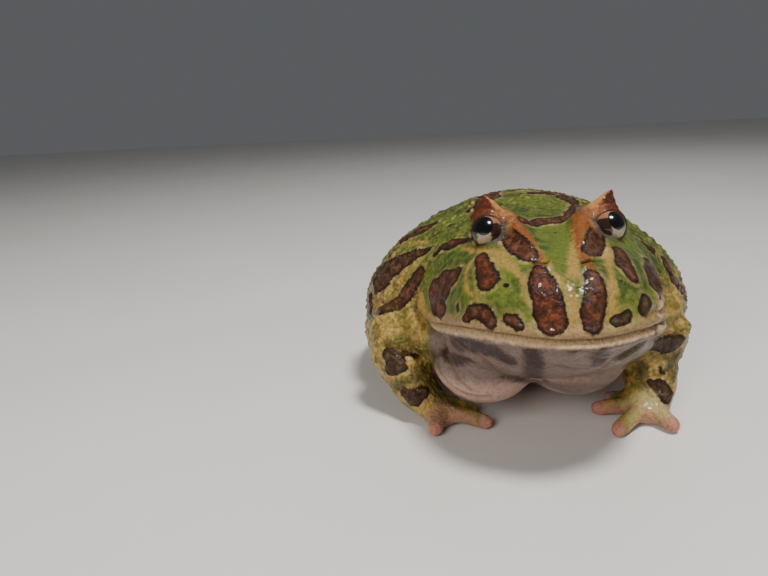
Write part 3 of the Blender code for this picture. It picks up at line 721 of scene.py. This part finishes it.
throatPatches = {
    "middle": ((533, 352, 1.7), (534, 366, 2.2), (535, 378, 1.8)),
    "left": ((602, 349, 1.3), (600, 357, 1.9), (598, 364, 1.4)),
    "farLeft": ((632, 353, 1.1), (624, 356, 1.6)),
    "right": ((456, 343, 2), (476, 346, 2.2), (496, 352, 2), (510, 362, 1.6)),
    "underRight": ((446, 352, 1.6), (456, 360, 1.4), (470, 360, 1)),
    "chin": ((572, 345, 1), (574, 349, 1.2)),
    # Painted shade along the crease between the chest lobes
    "lobeCreaseShade": ((504, 377, 0.4), (520, 379, 0.6), (538, 382, 0.8)),
}
# Limbs as chains through their middles in mm, to tint them
limbs = {
    "rightShoulder": ((-38, -8, 28, 9), (-33, -17, 27, 4)),
    "leftShoulder": ((35, -10, 28, 8), (32, -18, 26, 3)),
    "rightArm": ((-36, -11, 27, 8), (-41, -11, 19, 8), (-37, -14, 13, 7.5), (-30, -20, 5, 6)),
    "leftArm": ((32, -14, 28, 8), (34.5, -14, 20, 8), (32, -15, 13, 7.5), (30, -20, 5, 6)),
    "rightHand": ((-30, -20, 5, 6), (-26, -24, 2, 8)),
    "leftHand": ((30, -20, 5, 6), (27, -25, 2, 9)),
}
legs = {
    "Leg": ((43, 14, 16, 9), (44, 22, 13, 8), (42, 32, 11, 7.5), (37, 42, 8, 6)),
    "Foot": ((37, 40, 4, 5), (40, 24, 2, 8), (40, 8, 2, 8)),
}
limbs.update(onBothSides(legs))
digits = {
    "rightA": ((-29.5, -31, 2, 2), (-30.2, -33, 2, 2.8)),
    "rightB": ((-15, -27, 2, 2), (-11.5, -27, 2, 3.2)),
    "leftA": ((34, -31, 2, 1.8), (34.8, -34, 2, 3)),
    "leftB": ((18, -31, 2, 1.8), (16, -34, 2, 3.2)),
    "leftC": ((17, -20, 2, 2.4), (13, -19, 2, 4)),
}
digits.update(onBothSides({"Toes": ((32, 7, 2, 2.4), (40, 1, 2, 3), (49, 9, 2, 2.4))}))
hands = {
    "right": ((-29, -20, 5, 3), (-27, -26, 2, 6), (-20, -26, 2, 3)),
    "left": ((31, -20, 5, 3), (30, -26, 2, 7), (22, -24, 2, 4)),
}
hands.update(onBothSides({"Foot": ((40, 10, 2, 8),)}))
# Olive on arms and hands, as pixels with radii in mm: partly the skin's own olive, partly painted shade under
# the right arm and on the right hand
oliveAndShadeMarks = {
    "rightForearm": ((392, 386, 1.2), (404, 383, 1.8), (420, 374, 2.6), (433, 362, 2.4)),
    "rightHand": ((430, 388, 1.5), (444, 396, 1.6), (456, 405, 1.2)),
    "leftWristBand": ((650, 388, 1.6), (664, 391, 2.4), (670, 398, 2)),
    "leftInnerArm": ((634, 352, 1.6), (640, 366, 2), (644, 380, 1.6)),
}
# Painted light: a pale tone on the left hand, which stands in more light, as pixels with radii in mm
litHandZones = {
    "leftOuter": ((644, 396, 1.6), (655, 402, 2.2), (664, 412, 2)),
    "leftMiddle": ((644, 398, 1.6), (636, 412, 2), (631, 420, 1.6)),
    "leftInner": ((636, 398, 1.4), (624, 402, 1.4)),
}
# Painted shade: throat grey over the belly's pink on the left chest lobe, as pixels with radii in mm
lobeShadeZones = {"leftLobeShade": ((548, 384, 2), (575, 390, 3.4), (605, 384, 3.6), (630, 368, 2.4))}
# Olive on the forearms in mm, with painted shade in the fold of the right elbow
oliveAndFoldShadeZones = {
    "leftForearm": ((36, -16, 17, 5.5), (33, -17, 10, 5)),
    "rightForearm": ((-40, -16, 12, 3), (-34, -18, 11, 4), (-29, -20, 8, 4)),
    "rightElbowFold": ((-32, -14, 20, 3), (-30, -12, 26, 3)),
}
# Height of the line between back and underside, along the body
underLine = {
    "along": (-54, -48, -36, -28, -18, -8, 4, 16, 40, 60),
    "height": (38.5, 38.3, 36.0, 33.0, 30.0, 25.0, 17.0, 11.5, 8.5, 9.5),
}


def nearestChain(points, chains):
    best = np.full(len(points), farOff)
    for chain in chains:
        best = np.minimum(best, chainDistance(points, chain))
    return best


lidFields = ("brow", "browPale", "lidGrey", "lidDark", "lidCream")


def markSkin(skin):
    tree = treeOf(skin)
    points = pointsOf(skin)
    seen = markChains(tree)
    blotch = np.full(len(points), farOff)
    rust = np.zeros(len(points))
    wavy = np.zeros(len(points))
    for size, height in outlineWaves:
        wavy += [height * lumps.noise(Vector(point / size)) for point in points]
    for name, chain in seen.items():
        gap = chainDistance(points, chain)
        if name in hiddenBlotches:
            gap = gap + wavy
        rust = np.where(gap < np.minimum(blotch, 1.0), rusty.get(name, rusty["others"]), rust)
        blotch = np.minimum(blotch, gap)
    spots = nearestChain(points, [chainOnSkin(tree, [row]) for row in dots])
    random = np.random.default_rng(skinSizes["seed"] + 1)
    back = points[(points[:, 2] > hiddenDots["above"]) & (points[:, 1] > hiddenDots["behind"])]
    for spot in back[random.integers(0, len(back), hiddenDots["count"])]:
        gap = lengthsOf(points - spot)
        spots = np.minimum(spots, gap - random.uniform(*hiddenDots["radius"]))
    writeField(skin, "blotch", blotch)
    writeField(skin, "rust", rust)
    writeField(skin, "dots", spots)
    painted = {
        "orange": orangeZones,
        "straw": strawZones,
        "green": greenZones,
        "throat": throatPatches,
        "mauve": lobeShadeZones,
        "litHand": litHandZones,
    }
    for name, zones in painted.items():
        writeField(skin, name, nearestChain(points, [chainOnSkin(tree, rows) for rows in zones.values()]))
    for name, chains in {"limb": limbs, "digit": digits, "hand": hands}.items():
        writeField(skin, name, nearestChain(points, chains.values()))
    # Olive, partly the skin's own colour and partly painted shade
    shaded = nearestChain(points, [chainOnSkin(tree, rows) for rows in oliveAndShadeMarks.values()])
    writeField(skin, "olive", np.minimum(shaded, nearestChain(points, oliveAndFoldShadeZones.values())))
    writeField(skin, "floorGap", points[:, 2])
    away, over = mouthGap(tree, points)
    writeField(skin, "lipGap", np.minimum(away, 8) + 2.5 * softStep(points[:, 1], -29, -19))
    writeField(skin, "lipOver", np.clip(over, -4, 4))
    below = np.interp(points[:, 1], underLine["along"], underLine["height"])
    writeField(skin, "under", points[:, 2] - below)
    writeField(skin, "coarse", roughness(points))
    lids = {name: np.zeros(len(points)) for name in lidFields}
    for side in (1, -1):
        way, reach, off, edge = lidAngles(points, side)
        inward = -way[:, 0] * side
        close = softStep(reach, 6.4, 5.6)
        front = softStep(way @ mirrored(eyeSizes["innerLidWay"], side), 0.15, 0.5)
        # Over the upper lid: partly its own red-brown, partly painted shade under the horn
        brow = softStep(reach, 8.8, 7.4) * softStep(way[:, 2] + 0.35 * inward, 0.12, 0.42)
        below = softStep(way[:, 2], -0.45, -0.6) * softStep(np.abs(inward - 0.08), 0.42, 0.34)
        found = {
            "brow": brow,
            "browPale": brow * softStep(inward, 0.05, 0.45),
            "lidGrey": close * front * softStep(off, edge + 14, edge + 9),
            "lidDark": close * softStep(off, edge + 6, edge + 2) * (1 - front),
            "lidCream": close * below * softStep(off, edge + 16, edge + 11),
        }
        for name, values in found.items():
            lids[name] = np.maximum(lids[name], values)
    for name, values in lids.items():
        writeField(skin, name, values)


# Colours are sRGB hex values
def colour(code):
    channels = [int(code[i : i + 2], 16) / 255 for i in (1, 3, 5)]
    return [c / 12.92 if c <= 0.04045 else ((c + 0.055) / 1.055) ** 2.4 for c in channels] + [1.0]


def newMaterial(name):
    made = bpy.data.materials.new(name)
    made.use_nodes = True
    made.node_tree.nodes.clear()
    return made


# One node with its settings; an input is a value, a colour or another node's output
def addNode(material, kind, inputs=None, **settings):
    tree = material.node_tree
    made = tree.nodes.new("ShaderNode" + kind)
    for key, value in settings.items():
        setattr(made, key, value)
    for key, value in (inputs or {}).items():
        socket = made.inputs[key]
        if isinstance(value, bpy.types.NodeSocket):
            tree.links.new(value, socket)
        else:
            socket.default_value = value
    return made


# What the layers read: noises by size in mm and detail, and the mesh's own fields, whose edges each noise
# moves to and fro by its own number of millimetres
def makeValues(material, noises, fields):
    where = addNode(material, "TexCoord").outputs["Object"]
    values = {"where": where}
    for name, (size, detail) in noises.items():
        inputs = {"Vector": where, "Scale": 1000.0 / size, "Detail": detail}
        values[name] = addNode(material, "TexNoise", inputs).outputs["Fac"]
    for name, shifts in fields.items():
        value = addNode(material, "Attribute", attribute_name=name).outputs["Fac"]
        for noiseName, shift in zip(noises, shifts):
            if shift:
                inputs = {0: values[noiseName], 1: shift, 2: value}
                value = addNode(material, "Math", inputs, operation="MULTIPLY_ADD").outputs[0]
                inputs = {0: value, 1: shift / 2}
                value = addNode(material, "Math", inputs, operation="SUBTRACT").outputs[0]
        values[name] = value
    return values


# How much of a layer shows: its strength times each of its limits. A limit names a value, with where the
# layer is full and where it ends, or else the value itself is the share
def shareOf(material, values, strength, *limits):
    share = strength
    for name, *ends in limits:
        part = values[name]
        if ends:
            inputs = {"Value": part, "From Min": ends[0], "From Max": ends[1], "To Min": 1.0, "To Max": 0.0}
            ramp = addNode(material, "MapRange", inputs, interpolation_type="SMOOTHSTEP")
            part = ramp.outputs["Result"]
        share = addNode(material, "Math", {0: part, 1: share}, operation="MULTIPLY").outputs[0]
    return share


# Layers over one another: the surface that each goes on, its colour or surface, its strength and its limits
def paint(material, colours, starts, values, layers):
    surfaces = {name: colour(code) for name, code in colours.items()}
    surfaces.update({name: surfaces[tone] for name, tone in starts.items()})
    for under, over, *share in layers:
        inputs = {0: shareOf(material, values, *share), 6: surfaces[under], 7: surfaces[over]}
        surfaces[under] = addNode(material, "Mix", inputs, data_type="RGBA").outputs[2]
    return surfaces


def finished(material, inputs):
    shader = addNode(material, "BsdfPrincipled", inputs)
    addNode(material, "OutputMaterial", {"Surface": shader.outputs["BSDF"]})
    return material


skinColours = {
    "green": "#5b6622",
    "deepGreen": "#3b4a1a",
    "paleGreen": "#707234",
    "straw": "#a07f40",
    "paleStraw": "#ac8f5e",
    "edge": "#1c0f0a",
    "brown": "#3d2316",
    "cold": "#50422a",
    "warm": "#6a412b",
    "rust": "#6a351f",
    "orange": "#804a20",
    "lip": "#9c7b58",
    "lowerLip": "#cfae84",
    "line": "#573f18",
    "throat": "#705d54",
    "throatDark": "#321d1a",
    "belly": "#b69481",
    "arm": "#ab8b48",
    "armGreen": "#77692e",
    "gold": "#c4aa66",
    "pink": "#b87d6a",
    "tan": "#a57860",
    "litHand": "#aa9c62",
    "olive": "#454220",
    "brow": "#592714",
    "browPale": "#a0683f",
    "lidGrey": "#4f4a40",
}
# Noises by size in mm and detail, and the fields with the millimetres that the first two noises push them by
skinNoises = {
    "fine": (2.2, 4.0),
    "grain": (0.8, 3.0),
    "broad": (9.0, 3.0),
    "patches": (5.0, 3.0),
    "beads": (2.8, 1.0),
}
skinFields = {
    "straw": (2.4, 1.8),
    "green": (2.4, 1.8),
    "orange": (2.4, 1.8),
    "throat": (2.4, 1.8),
    "olive": (3.6, 2.7),
    "blotch": (1.2, 0.9),
    "dots": (0.96, 0.72),
    "limb": (3.6,),
    "floorGap": (3.6,),
    "under": (2.88,),
    "lipGap": (1.2,),
    "hand": (2.4,),
    "litHand": (2.4,),
    "digit": (2.4,),
}
plainFields = ("mauve", "lipOver", "rust", "wart", "coarse", "hollow", "nostril")
skinFields.update({name: () for name in plainFields + lidFields})
skinBase = {"skin": "green", "limbs": "armGreen", "underside": "throat", "blotches": "warm", "brows": "brow"}
pebbleSize = 1.15
skinLayers = (
    # Green back in three tones, with straw and orange along the ridges
    ("skin", "deepGreen", 1.0, ("broad", 0.58, 0.42)),
    ("skin", "paleGreen", 0.5, ("fine", 0.38, 0.56)),
    ("skin", "straw", 0.85, ("straw", -0.8, 0.9)),
    ("skin", "green", 1.0, ("green", -0.8, 0.6)),
    ("skin", "orange", 1.0, ("orange", -0.8, 0.9)),
    # Arms and legs: gold over olive
    ("limbs", "arm", 1.0, ("patches", 0.46, 0.56)),
    ("limbs", "gold", 0.7, ("cells", 0.08, 0.5), ("fine", 0.70, 0.46)),
    ("skin", "limbs", 1.0, ("limb", 0.3, 3.6)),
    # Throat and belly: mauve grey with darker upright patches, pink below
    ("underside", "belly", 1.0, ("floorGap", 15.0, 21.0)),
    # Painted shade: throat grey over the pink of the left chest lobe
    ("underside", "throat", 0.95, ("mauve", -1.0, 2.0)),
    ("underside", "throatDark", 1.0, ("throat", -0.8, 1.4)),
    ("skin", "underside", 1.0, ("under", -1.5, 0.8), ("limb", 4.2, 0.6)),
    # Hands and feet: tan, with olive that is partly painted shade, a pale tone that is painted light on the
    # left hand, and pink at the tips
    ("skin", "tan", 0.85, ("hand", -1.5, 1.0)),
    # Olive: partly the skin's own, partly painted shade under the right arm, in its elbow fold and on its
    # hand
    ("skin", "olive", 0.75, ("olive", -1.5, 1.5)),
    # Painted light on the left hand
    ("skin", "litHand", 0.8, ("litHand", -1.0, 1.2)),
    ("skin", "pink", 1.0, ("digit", -1.0, 2.0)),
    # Lips: a cream band on both sides of the mouth
    ("skin", "lip", 0.85, ("lipGap", 1.6, 4.2), ("lipOver", 0.4, -0.4)),
    ("skin", "lowerLip", 0.9, ("lipGap", 1.5, 2.4), ("lipOver", -0.4, 0.4)),
    # Blotches: a pale rim, a dark edge and a brown or rust middle, and the small dots
    ("skin", "paleStraw", 1.0, ("blotch", 0.5, 1.6), ("orange", 1.5, 0.0), ("fine", 0.8, 0.35)),
    ("blotches", "cold", 1.0, ("rust", 0.05, 0.28)),
    ("blotches", "rust", 1.0, ("rust", 0.9, 0.28)),
    ("blotches", "brown", 0.9, ("fine", 0.42, 0.64)),
    ("blotches", "edge", 0.35, ("grain", 0.40, 0.56)),
    ("blotches", "edge", 1.0, ("blotch", -0.1, -1.3)),
    ("skin", "blotches", 1.0, ("blotch", -0.25, 0.25)),
    ("skin", "edge", 1.0, ("dots", -0.15, 0.2)),
    # Pale wart tips, weaker on the blotches
    ("skin", "gold", 0.28, ("wart", 0.40, 0.12), ("bumpy",), ("blotch", 0.6, -0.4)),
    ("skin", "lip", 0.098, ("wart", 0.40, 0.12), ("blotch", -0.4, 0.4)),
    # Brows and lids: the red-brown over the upper lid is partly its own colour, partly painted shade under
    # the horn
    ("brows", "browPale", 1.0, ("browPale",)),
    ("brows", "brown", 0.5, ("fine", 0.40, 0.56)),
    ("skin", "brows", 0.9, ("brow",)),
    ("skin", "brown", 1.0, ("lidDark",)),
    ("skin", "lip", 1.0, ("lidCream",)),
    ("skin", "lidGrey", 1.0, ("lidGrey",)),
    # The mouth's olive line, partly painted shade in its groove; painted shade in the folds, nostrils, pebble
    # gaps and grain hollows
    # Partly the mouth's own dark line, partly painted shade in its groove and in the folds
    ("skin", "line", 0.75, ("hollow",)),
    # Painted shade inside the nostril slits
    ("skin", "edge", 1.0, ("nostril",)),
    # Painted shade in the gaps between the pebbles and, next, in the hollows of the grain
    ("skin", "edge", 0.28, ("cells", 0.75, 0.42), ("relief",)),
    ("skin", "edge", 0.24, ("grain", 0.34, 0.56)),
)
# Heights of pebbles and grain in the skin and of pebbles and beads in the film of water, with their strength
skinBumps = {"skin": (-1.0, 1.3, 0.75), "film": (-0.7, 3.0, 0.5), "flatPebbles": 0.55, "depth": 0.4 * mm}
skinGloss = {"From Min": 0.3, "From Max": 0.7, "To Min": 0.38, "To Max": 0.55}
skinFinish = {
    "IOR": 1.4,
    "Specular IOR Level": 0.25,
    "Subsurface Weight": 0.1,
    "Subsurface Radius": (1.0, 0.45, 0.25),
    "Subsurface Scale": 1.0 * mm,
    "Coat Weight": 0.4,
    "Coat Roughness": 0.06,
    "Coat IOR": 1.33,
}


# Living frog skin under a film of water: soft light inside, a sharp shine outside
def wetFrogSkin():
    made = newMaterial("wetGranularFrogSkin")
    values = makeValues(made, skinNoises, skinFields)
    inputs = {"Vector": values["where"], "Scale": 1000.0 / pebbleSize}
    cells = addNode(made, "TexVoronoi", inputs).outputs["Distance"]
    overBelly = shareOf(made, values, 1.0, ("under", 0.8, -1.0))
    onLimb = shareOf(made, values, 1.0, ("limb", 1.0, 3.0))
    bumpy = addNode(made, "Math", {0: overBelly, 1: onLimb}, operation="MAXIMUM").outputs[0]
    values.update({"cells": cells, "bumpy": bumpy})
    values["relief"] = shareOf(made, values, 1.0, ("coarse", 0.9, 0.1), ("bumpy",))
    base = paint(made, skinColours, skinBase, values, skinLayers)["skin"]

    inputs = {0: values["relief"], 1: skinBumps["flatPebbles"]}
    values["pebbled"] = addNode(made, "Math", inputs, operation="ADD").outputs[0]
    values["pebbles"] = shareOf(made, values, 1.0, ("cells",), ("cells",), ("pebbled",))
    normals = {}
    for name, other in (("skin", "grain"), ("film", "beads")):
        ofPebbles, ofOther, strength = skinBumps[name]
        inputs = {0: values["pebbles"], 1: ofPebbles, 2: shareOf(made, values, ofOther, (other,))}
        height = addNode(made, "Math", inputs, operation="MULTIPLY_ADD").outputs[0]
        inputs = {"Height": height, "Strength": strength, "Distance": skinBumps["depth"]}
        normals[name] = addNode(made, "Bump", inputs).outputs["Normal"]
    gloss = addNode(made, "MapRange", {"Value": values["fine"], **skinGloss}).outputs["Result"]
    inputs = {"Base Color": base, "Roughness": gloss, **skinFinish}
    return finished(made, {**inputs, "Normal": normals["skin"], "Coat Normal": normals["film"]})


def makeSkin():
    skin = bareSkin()
    print("skin closed,", len(skin.data.vertices), "points")
    refine(skin)
    sculpt(skin)
    count = sum(len(face.vertices) - 2 for face in skin.data.polygons)
    print("skin sculpted,", count, "triangles")
    markSkin(skin)
    flesh = [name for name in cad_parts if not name.startswith(("eye_", "horn_"))]
    dress(skin, wetFrogSkin(), "mottled_skin", *flesh)


eyeColours = {
    "pupil": "#030304",
    "iris": "#2c1811",
    "dark": "#14100b",
    "cream": "#a18b6a",
    "tan": "#8c6248",
    "lid": "#3a3630",
}
eyeNoises = {"veins": (0.8, 4.0)}
eyeFields = {"inward": (1.0,), "cream": (1.6,), "brow": (30.0,), "innerLid": (0.4,), "pupil": ()}
eyeLayers = (
    ("eye", "dark", 1.0, ("inward", -0.2, 1.2)),
    ("eye", "cream", 1.0, ("cream", -0.1, 0.5)),
    ("eye", "tan", 1.0, ("brow", -6.0, 6.0)),
    ("eye", "lid", 1.0, ("innerLid", 0.0, 0.35)),
    ("eye", "pupil", 1.0, ("pupil", eyeSizes["pupilAngle"] - 1, eyeSizes["pupilAngle"] + 1)),
)
# Places on the eyeball in mm from the pupil, and turns about it in degrees
eyeMarks = {"creamMiddle": 0.1, "creamHalfWidth": 1.4, "creamTop": -1.7, "browTurn": 30, "browHalfTurn": 38}
eyeFinish = {"Roughness": 0.2, "IOR": 1.376, "Coat Weight": 1.0, "Coat Roughness": 0.03, "Coat IOR": 1.5}


# A wet cornea over a dark iris: a hard shine, cream under the pupil, and the grey inner lid at its front edge
def wetEye():
    made = newMaterial("wetCornea")
    values = makeValues(made, eyeNoises, eyeFields)
    base = paint(made, eyeColours, {"eye": "iris"}, values, eyeLayers)["eye"]
    return finished(made, {"Base Color": base, **eyeFinish})


def makeEye(label, side, material):
    centre = eyeCentre(side)
    eye = ball("eyeball_" + label, centre, (eyeSizes["radius"],) * 3, 64, 48)
    points = pointsOf(eye)
    way = (points - centre) / lengthsOf(points - centre)[:, None]
    look, up = lookAndUp(eyeSizes["pupilWay"], side)
    inward = way @ np.cross(look, up) * side * eyeSizes["radius"]
    upward = way @ up * eyeSizes["radius"]
    turn = np.arctan2(inward, upward)
    angle = np.degrees(np.arccos(np.clip(way @ look, -1, 1)))
    _, _, off, edge = lidAngles(points, side)
    front = way @ mirrored(eyeSizes["innerLidWay"], side)
    reach = eyeSizes["radius"] + eyeSizes["corneaHeight"] * hump(angle, eyeSizes["corneaAngle"])
    movePoints(eye, centre + way * reach[:, None])
    writeField(eye, "pupil", angle * np.hypot(np.cos(turn) / eyeSizes["pupilTall"], np.sin(turn)))
    writeField(eye, "inward", inward)
    beside = np.abs(inward - eyeMarks["creamMiddle"]) - eyeMarks["creamHalfWidth"]
    writeField(eye, "cream", np.maximum(beside, upward - eyeMarks["creamTop"]))
    writeField(eye, "brow", np.abs(np.degrees(turn) - eyeMarks["browTurn"]) - eyeMarks["browHalfTurn"])
    writeField(eye, "innerLid", (edge + 2 - 7 * softStep(front, 0.1, 0.6) - off) / 10)
    dress(eye, material, "eye", "eye_" + label)


hornSizes = {
    "root": (12.8, -19.9, 56.2),
    "tip": (15.9, -22.7, 64.6),
    "width": 12.6,
    "depth": 8.2,
    "foot": 0.12,
    "point": 0.92,
    "bow": -0.7,
    "slant": 0.18,
    "bumps": 90,
    "bumpHeight": (0.12, 0.32),
    "bumpRadius": (0.4, 0.8),
    "seed": 11,
}


# Horn: a raised upper lid drawn out to a fleshy point
def makeHorn(label, side, material):
    horn = ball("horn_skin_" + label, (0, 0, 0), (1, 1, 1), 96, 72)
    unit = pointsOf(horn)
    rise = np.clip((unit[:, 2] + 1) / 2, 0, 1)
    root = mirrored(hornSizes["root"], side)
    tip = mirrored(hornSizes["tip"], side)
    spread = lengthsOf(unit[:, :2])
    turn = np.arctan2(unit[:, 1], unit[:, 0])
    foot = hornSizes["foot"]
    drawn = (1 - (rise - foot) / (1 - foot)) ** hornSizes["point"]
    taper = np.where(rise < foot, (rise / foot) ** 0.5, drawn)
    centre = root + (tip - root) * rise[:, None]
    centre[:, 0] += side * hornSizes["bow"] * np.sin(np.pi * rise)
    across = hornSizes["width"] / 2 * taper * np.cos(turn)
    along = hornSizes["depth"] / 2 * taper * np.sin(turn)
    points = centre + np.stack([across, along, hornSizes["slant"] * side * across], axis=1)
    movePoints(horn, points)
    random = np.random.default_rng(hornSizes["seed"] + side)
    push = np.zeros(len(points))
    for index in random.integers(0, len(points), hornSizes["bumps"]):
        gap = lengthsOf(points - points[index])
        height = random.uniform(*hornSizes["bumpHeight"])
        push = np.maximum(push, height * hump(gap, random.uniform(*hornSizes["bumpRadius"])))
    push *= softStep(rise, 0.98, 0.85)
    movePoints(horn, points + vertexValues(horn, "normal") * push[:, None])
    crest = -side * unit[:, 0] / np.maximum(spread, 0.05) * softStep(rise, 0.02, 0.2)
    writeField(horn, "crest", crest - 0.15)
    writeField(horn, "inner", -side * (points[:, 0] - centre[:, 0]))
    dress(horn, material, "horn_skin", "horn_" + label)


hornColours = {"orange": "#8a4c1f", "tan": "#b07c46", "brown": "#552412", "dark": "#2f1811"}
hornNoises = {"fine": (1.6, 4.0), "grain": (0.6, 2.0)}
hornFields = {"inner": (4.0,), "crest": (1.2,)}
hornLayers = (
    ("horn", "brown", 1.0, ("inner", 0.2, 1.8)),
    ("horn", "dark", 0.5, ("fine", 0.36, 0.50)),
    ("horn", "tan", 1.0, ("crest", 0.6, 0.1)),
)
hornBump = {"Strength": 0.4, "Distance": 0.25 * mm}
hornFinish = {
    "Roughness": 0.38,
    "IOR": 1.4,
    "Subsurface Weight": 0.12,
    "Subsurface Radius": (1.0, 0.45, 0.25),
    "Subsurface Scale": 1.2 * mm,
    "Coat Weight": 0.45,
    "Coat Roughness": 0.14,
    "Coat IOR": 1.33,
}


# Moist granular flesh, tan along the crest and brown towards the eye
def hornFlesh():
    made = newMaterial("moistHornFlesh")
    values = makeValues(made, hornNoises, hornFields)
    base = paint(made, hornColours, {"horn": "orange"}, values, hornLayers)["horn"]
    normal = addNode(made, "Bump", {"Height": values["grain"], **hornBump}).outputs["Normal"]
    return finished(made, {"Base Color": base, "Normal": normal, **hornFinish})


room = {"size": 3.0, "cloud": 1000.0 / 12.0, "strength": 0.16}
roomColours = {"floor": "#e6e2dd", "shade": "#dcd5cd", "light": "#d5d9de"}
# Place, size and power of each lamp
lamps = {
    "key": ((0.1, -0.16, 0.6), 0.13, 4.0),
    "front": ((-0.34, -0.54, 0.36), 0.35, 2.9),
    "back": ((0.2, 0.5, 0.6), 0.5, 0.8),
}


# Matte painted board, with clouds so faint that it reads as plain
def matteFloor():
    made = newMaterial("paleMatteFloor")
    values = makeValues(made, {"cloud": (room["cloud"], 4.0)}, {})
    base = paint(made, roomColours, {}, values, (("floor", "shade", 1.0, ("cloud",)),))["floor"]
    return finished(made, {"Base Color": base, "Roughness": 0.6})


def makeRoom():
    bpy.ops.object.select_all(action="DESELECT")
    bpy.ops.mesh.primitive_plane_add(size=room["size"])
    floor = bpy.context.active_object
    floor.name = "floor"
    floor.data.materials.append(matteFloor())
    world = bpy.data.worlds.new("studio")
    bpy.context.scene.world = world
    world.use_nodes = True
    background = world.node_tree.nodes["Background"]
    background.inputs["Color"].default_value = colour(roomColours["light"])
    background.inputs["Strength"].default_value = room["strength"]
    for name, (spot, size, power) in lamps.items():
        light = bpy.data.lights.new(name, "AREA")
        light.shape = "DISK"
        light.size = size
        light.energy = power
        lamp = added(name, light)
        lamp.visible_glossy = name == "key"
        lamp.location = spot
        aim = Vector((0, 0, 0.03)) - Vector(spot)
        lamp.rotation_euler = aim.to_track_quat("-Z", "Y").to_euler()


makeCamera()
makeRoom()
makeSkin()
eyeMaterial = wetEye()
hornMaterial = hornFlesh()
for label, side in sides:
    makeEye(label, side, eyeMaterial)
    makeHorn(label, side, hornMaterial)
print("eyes and horns set")
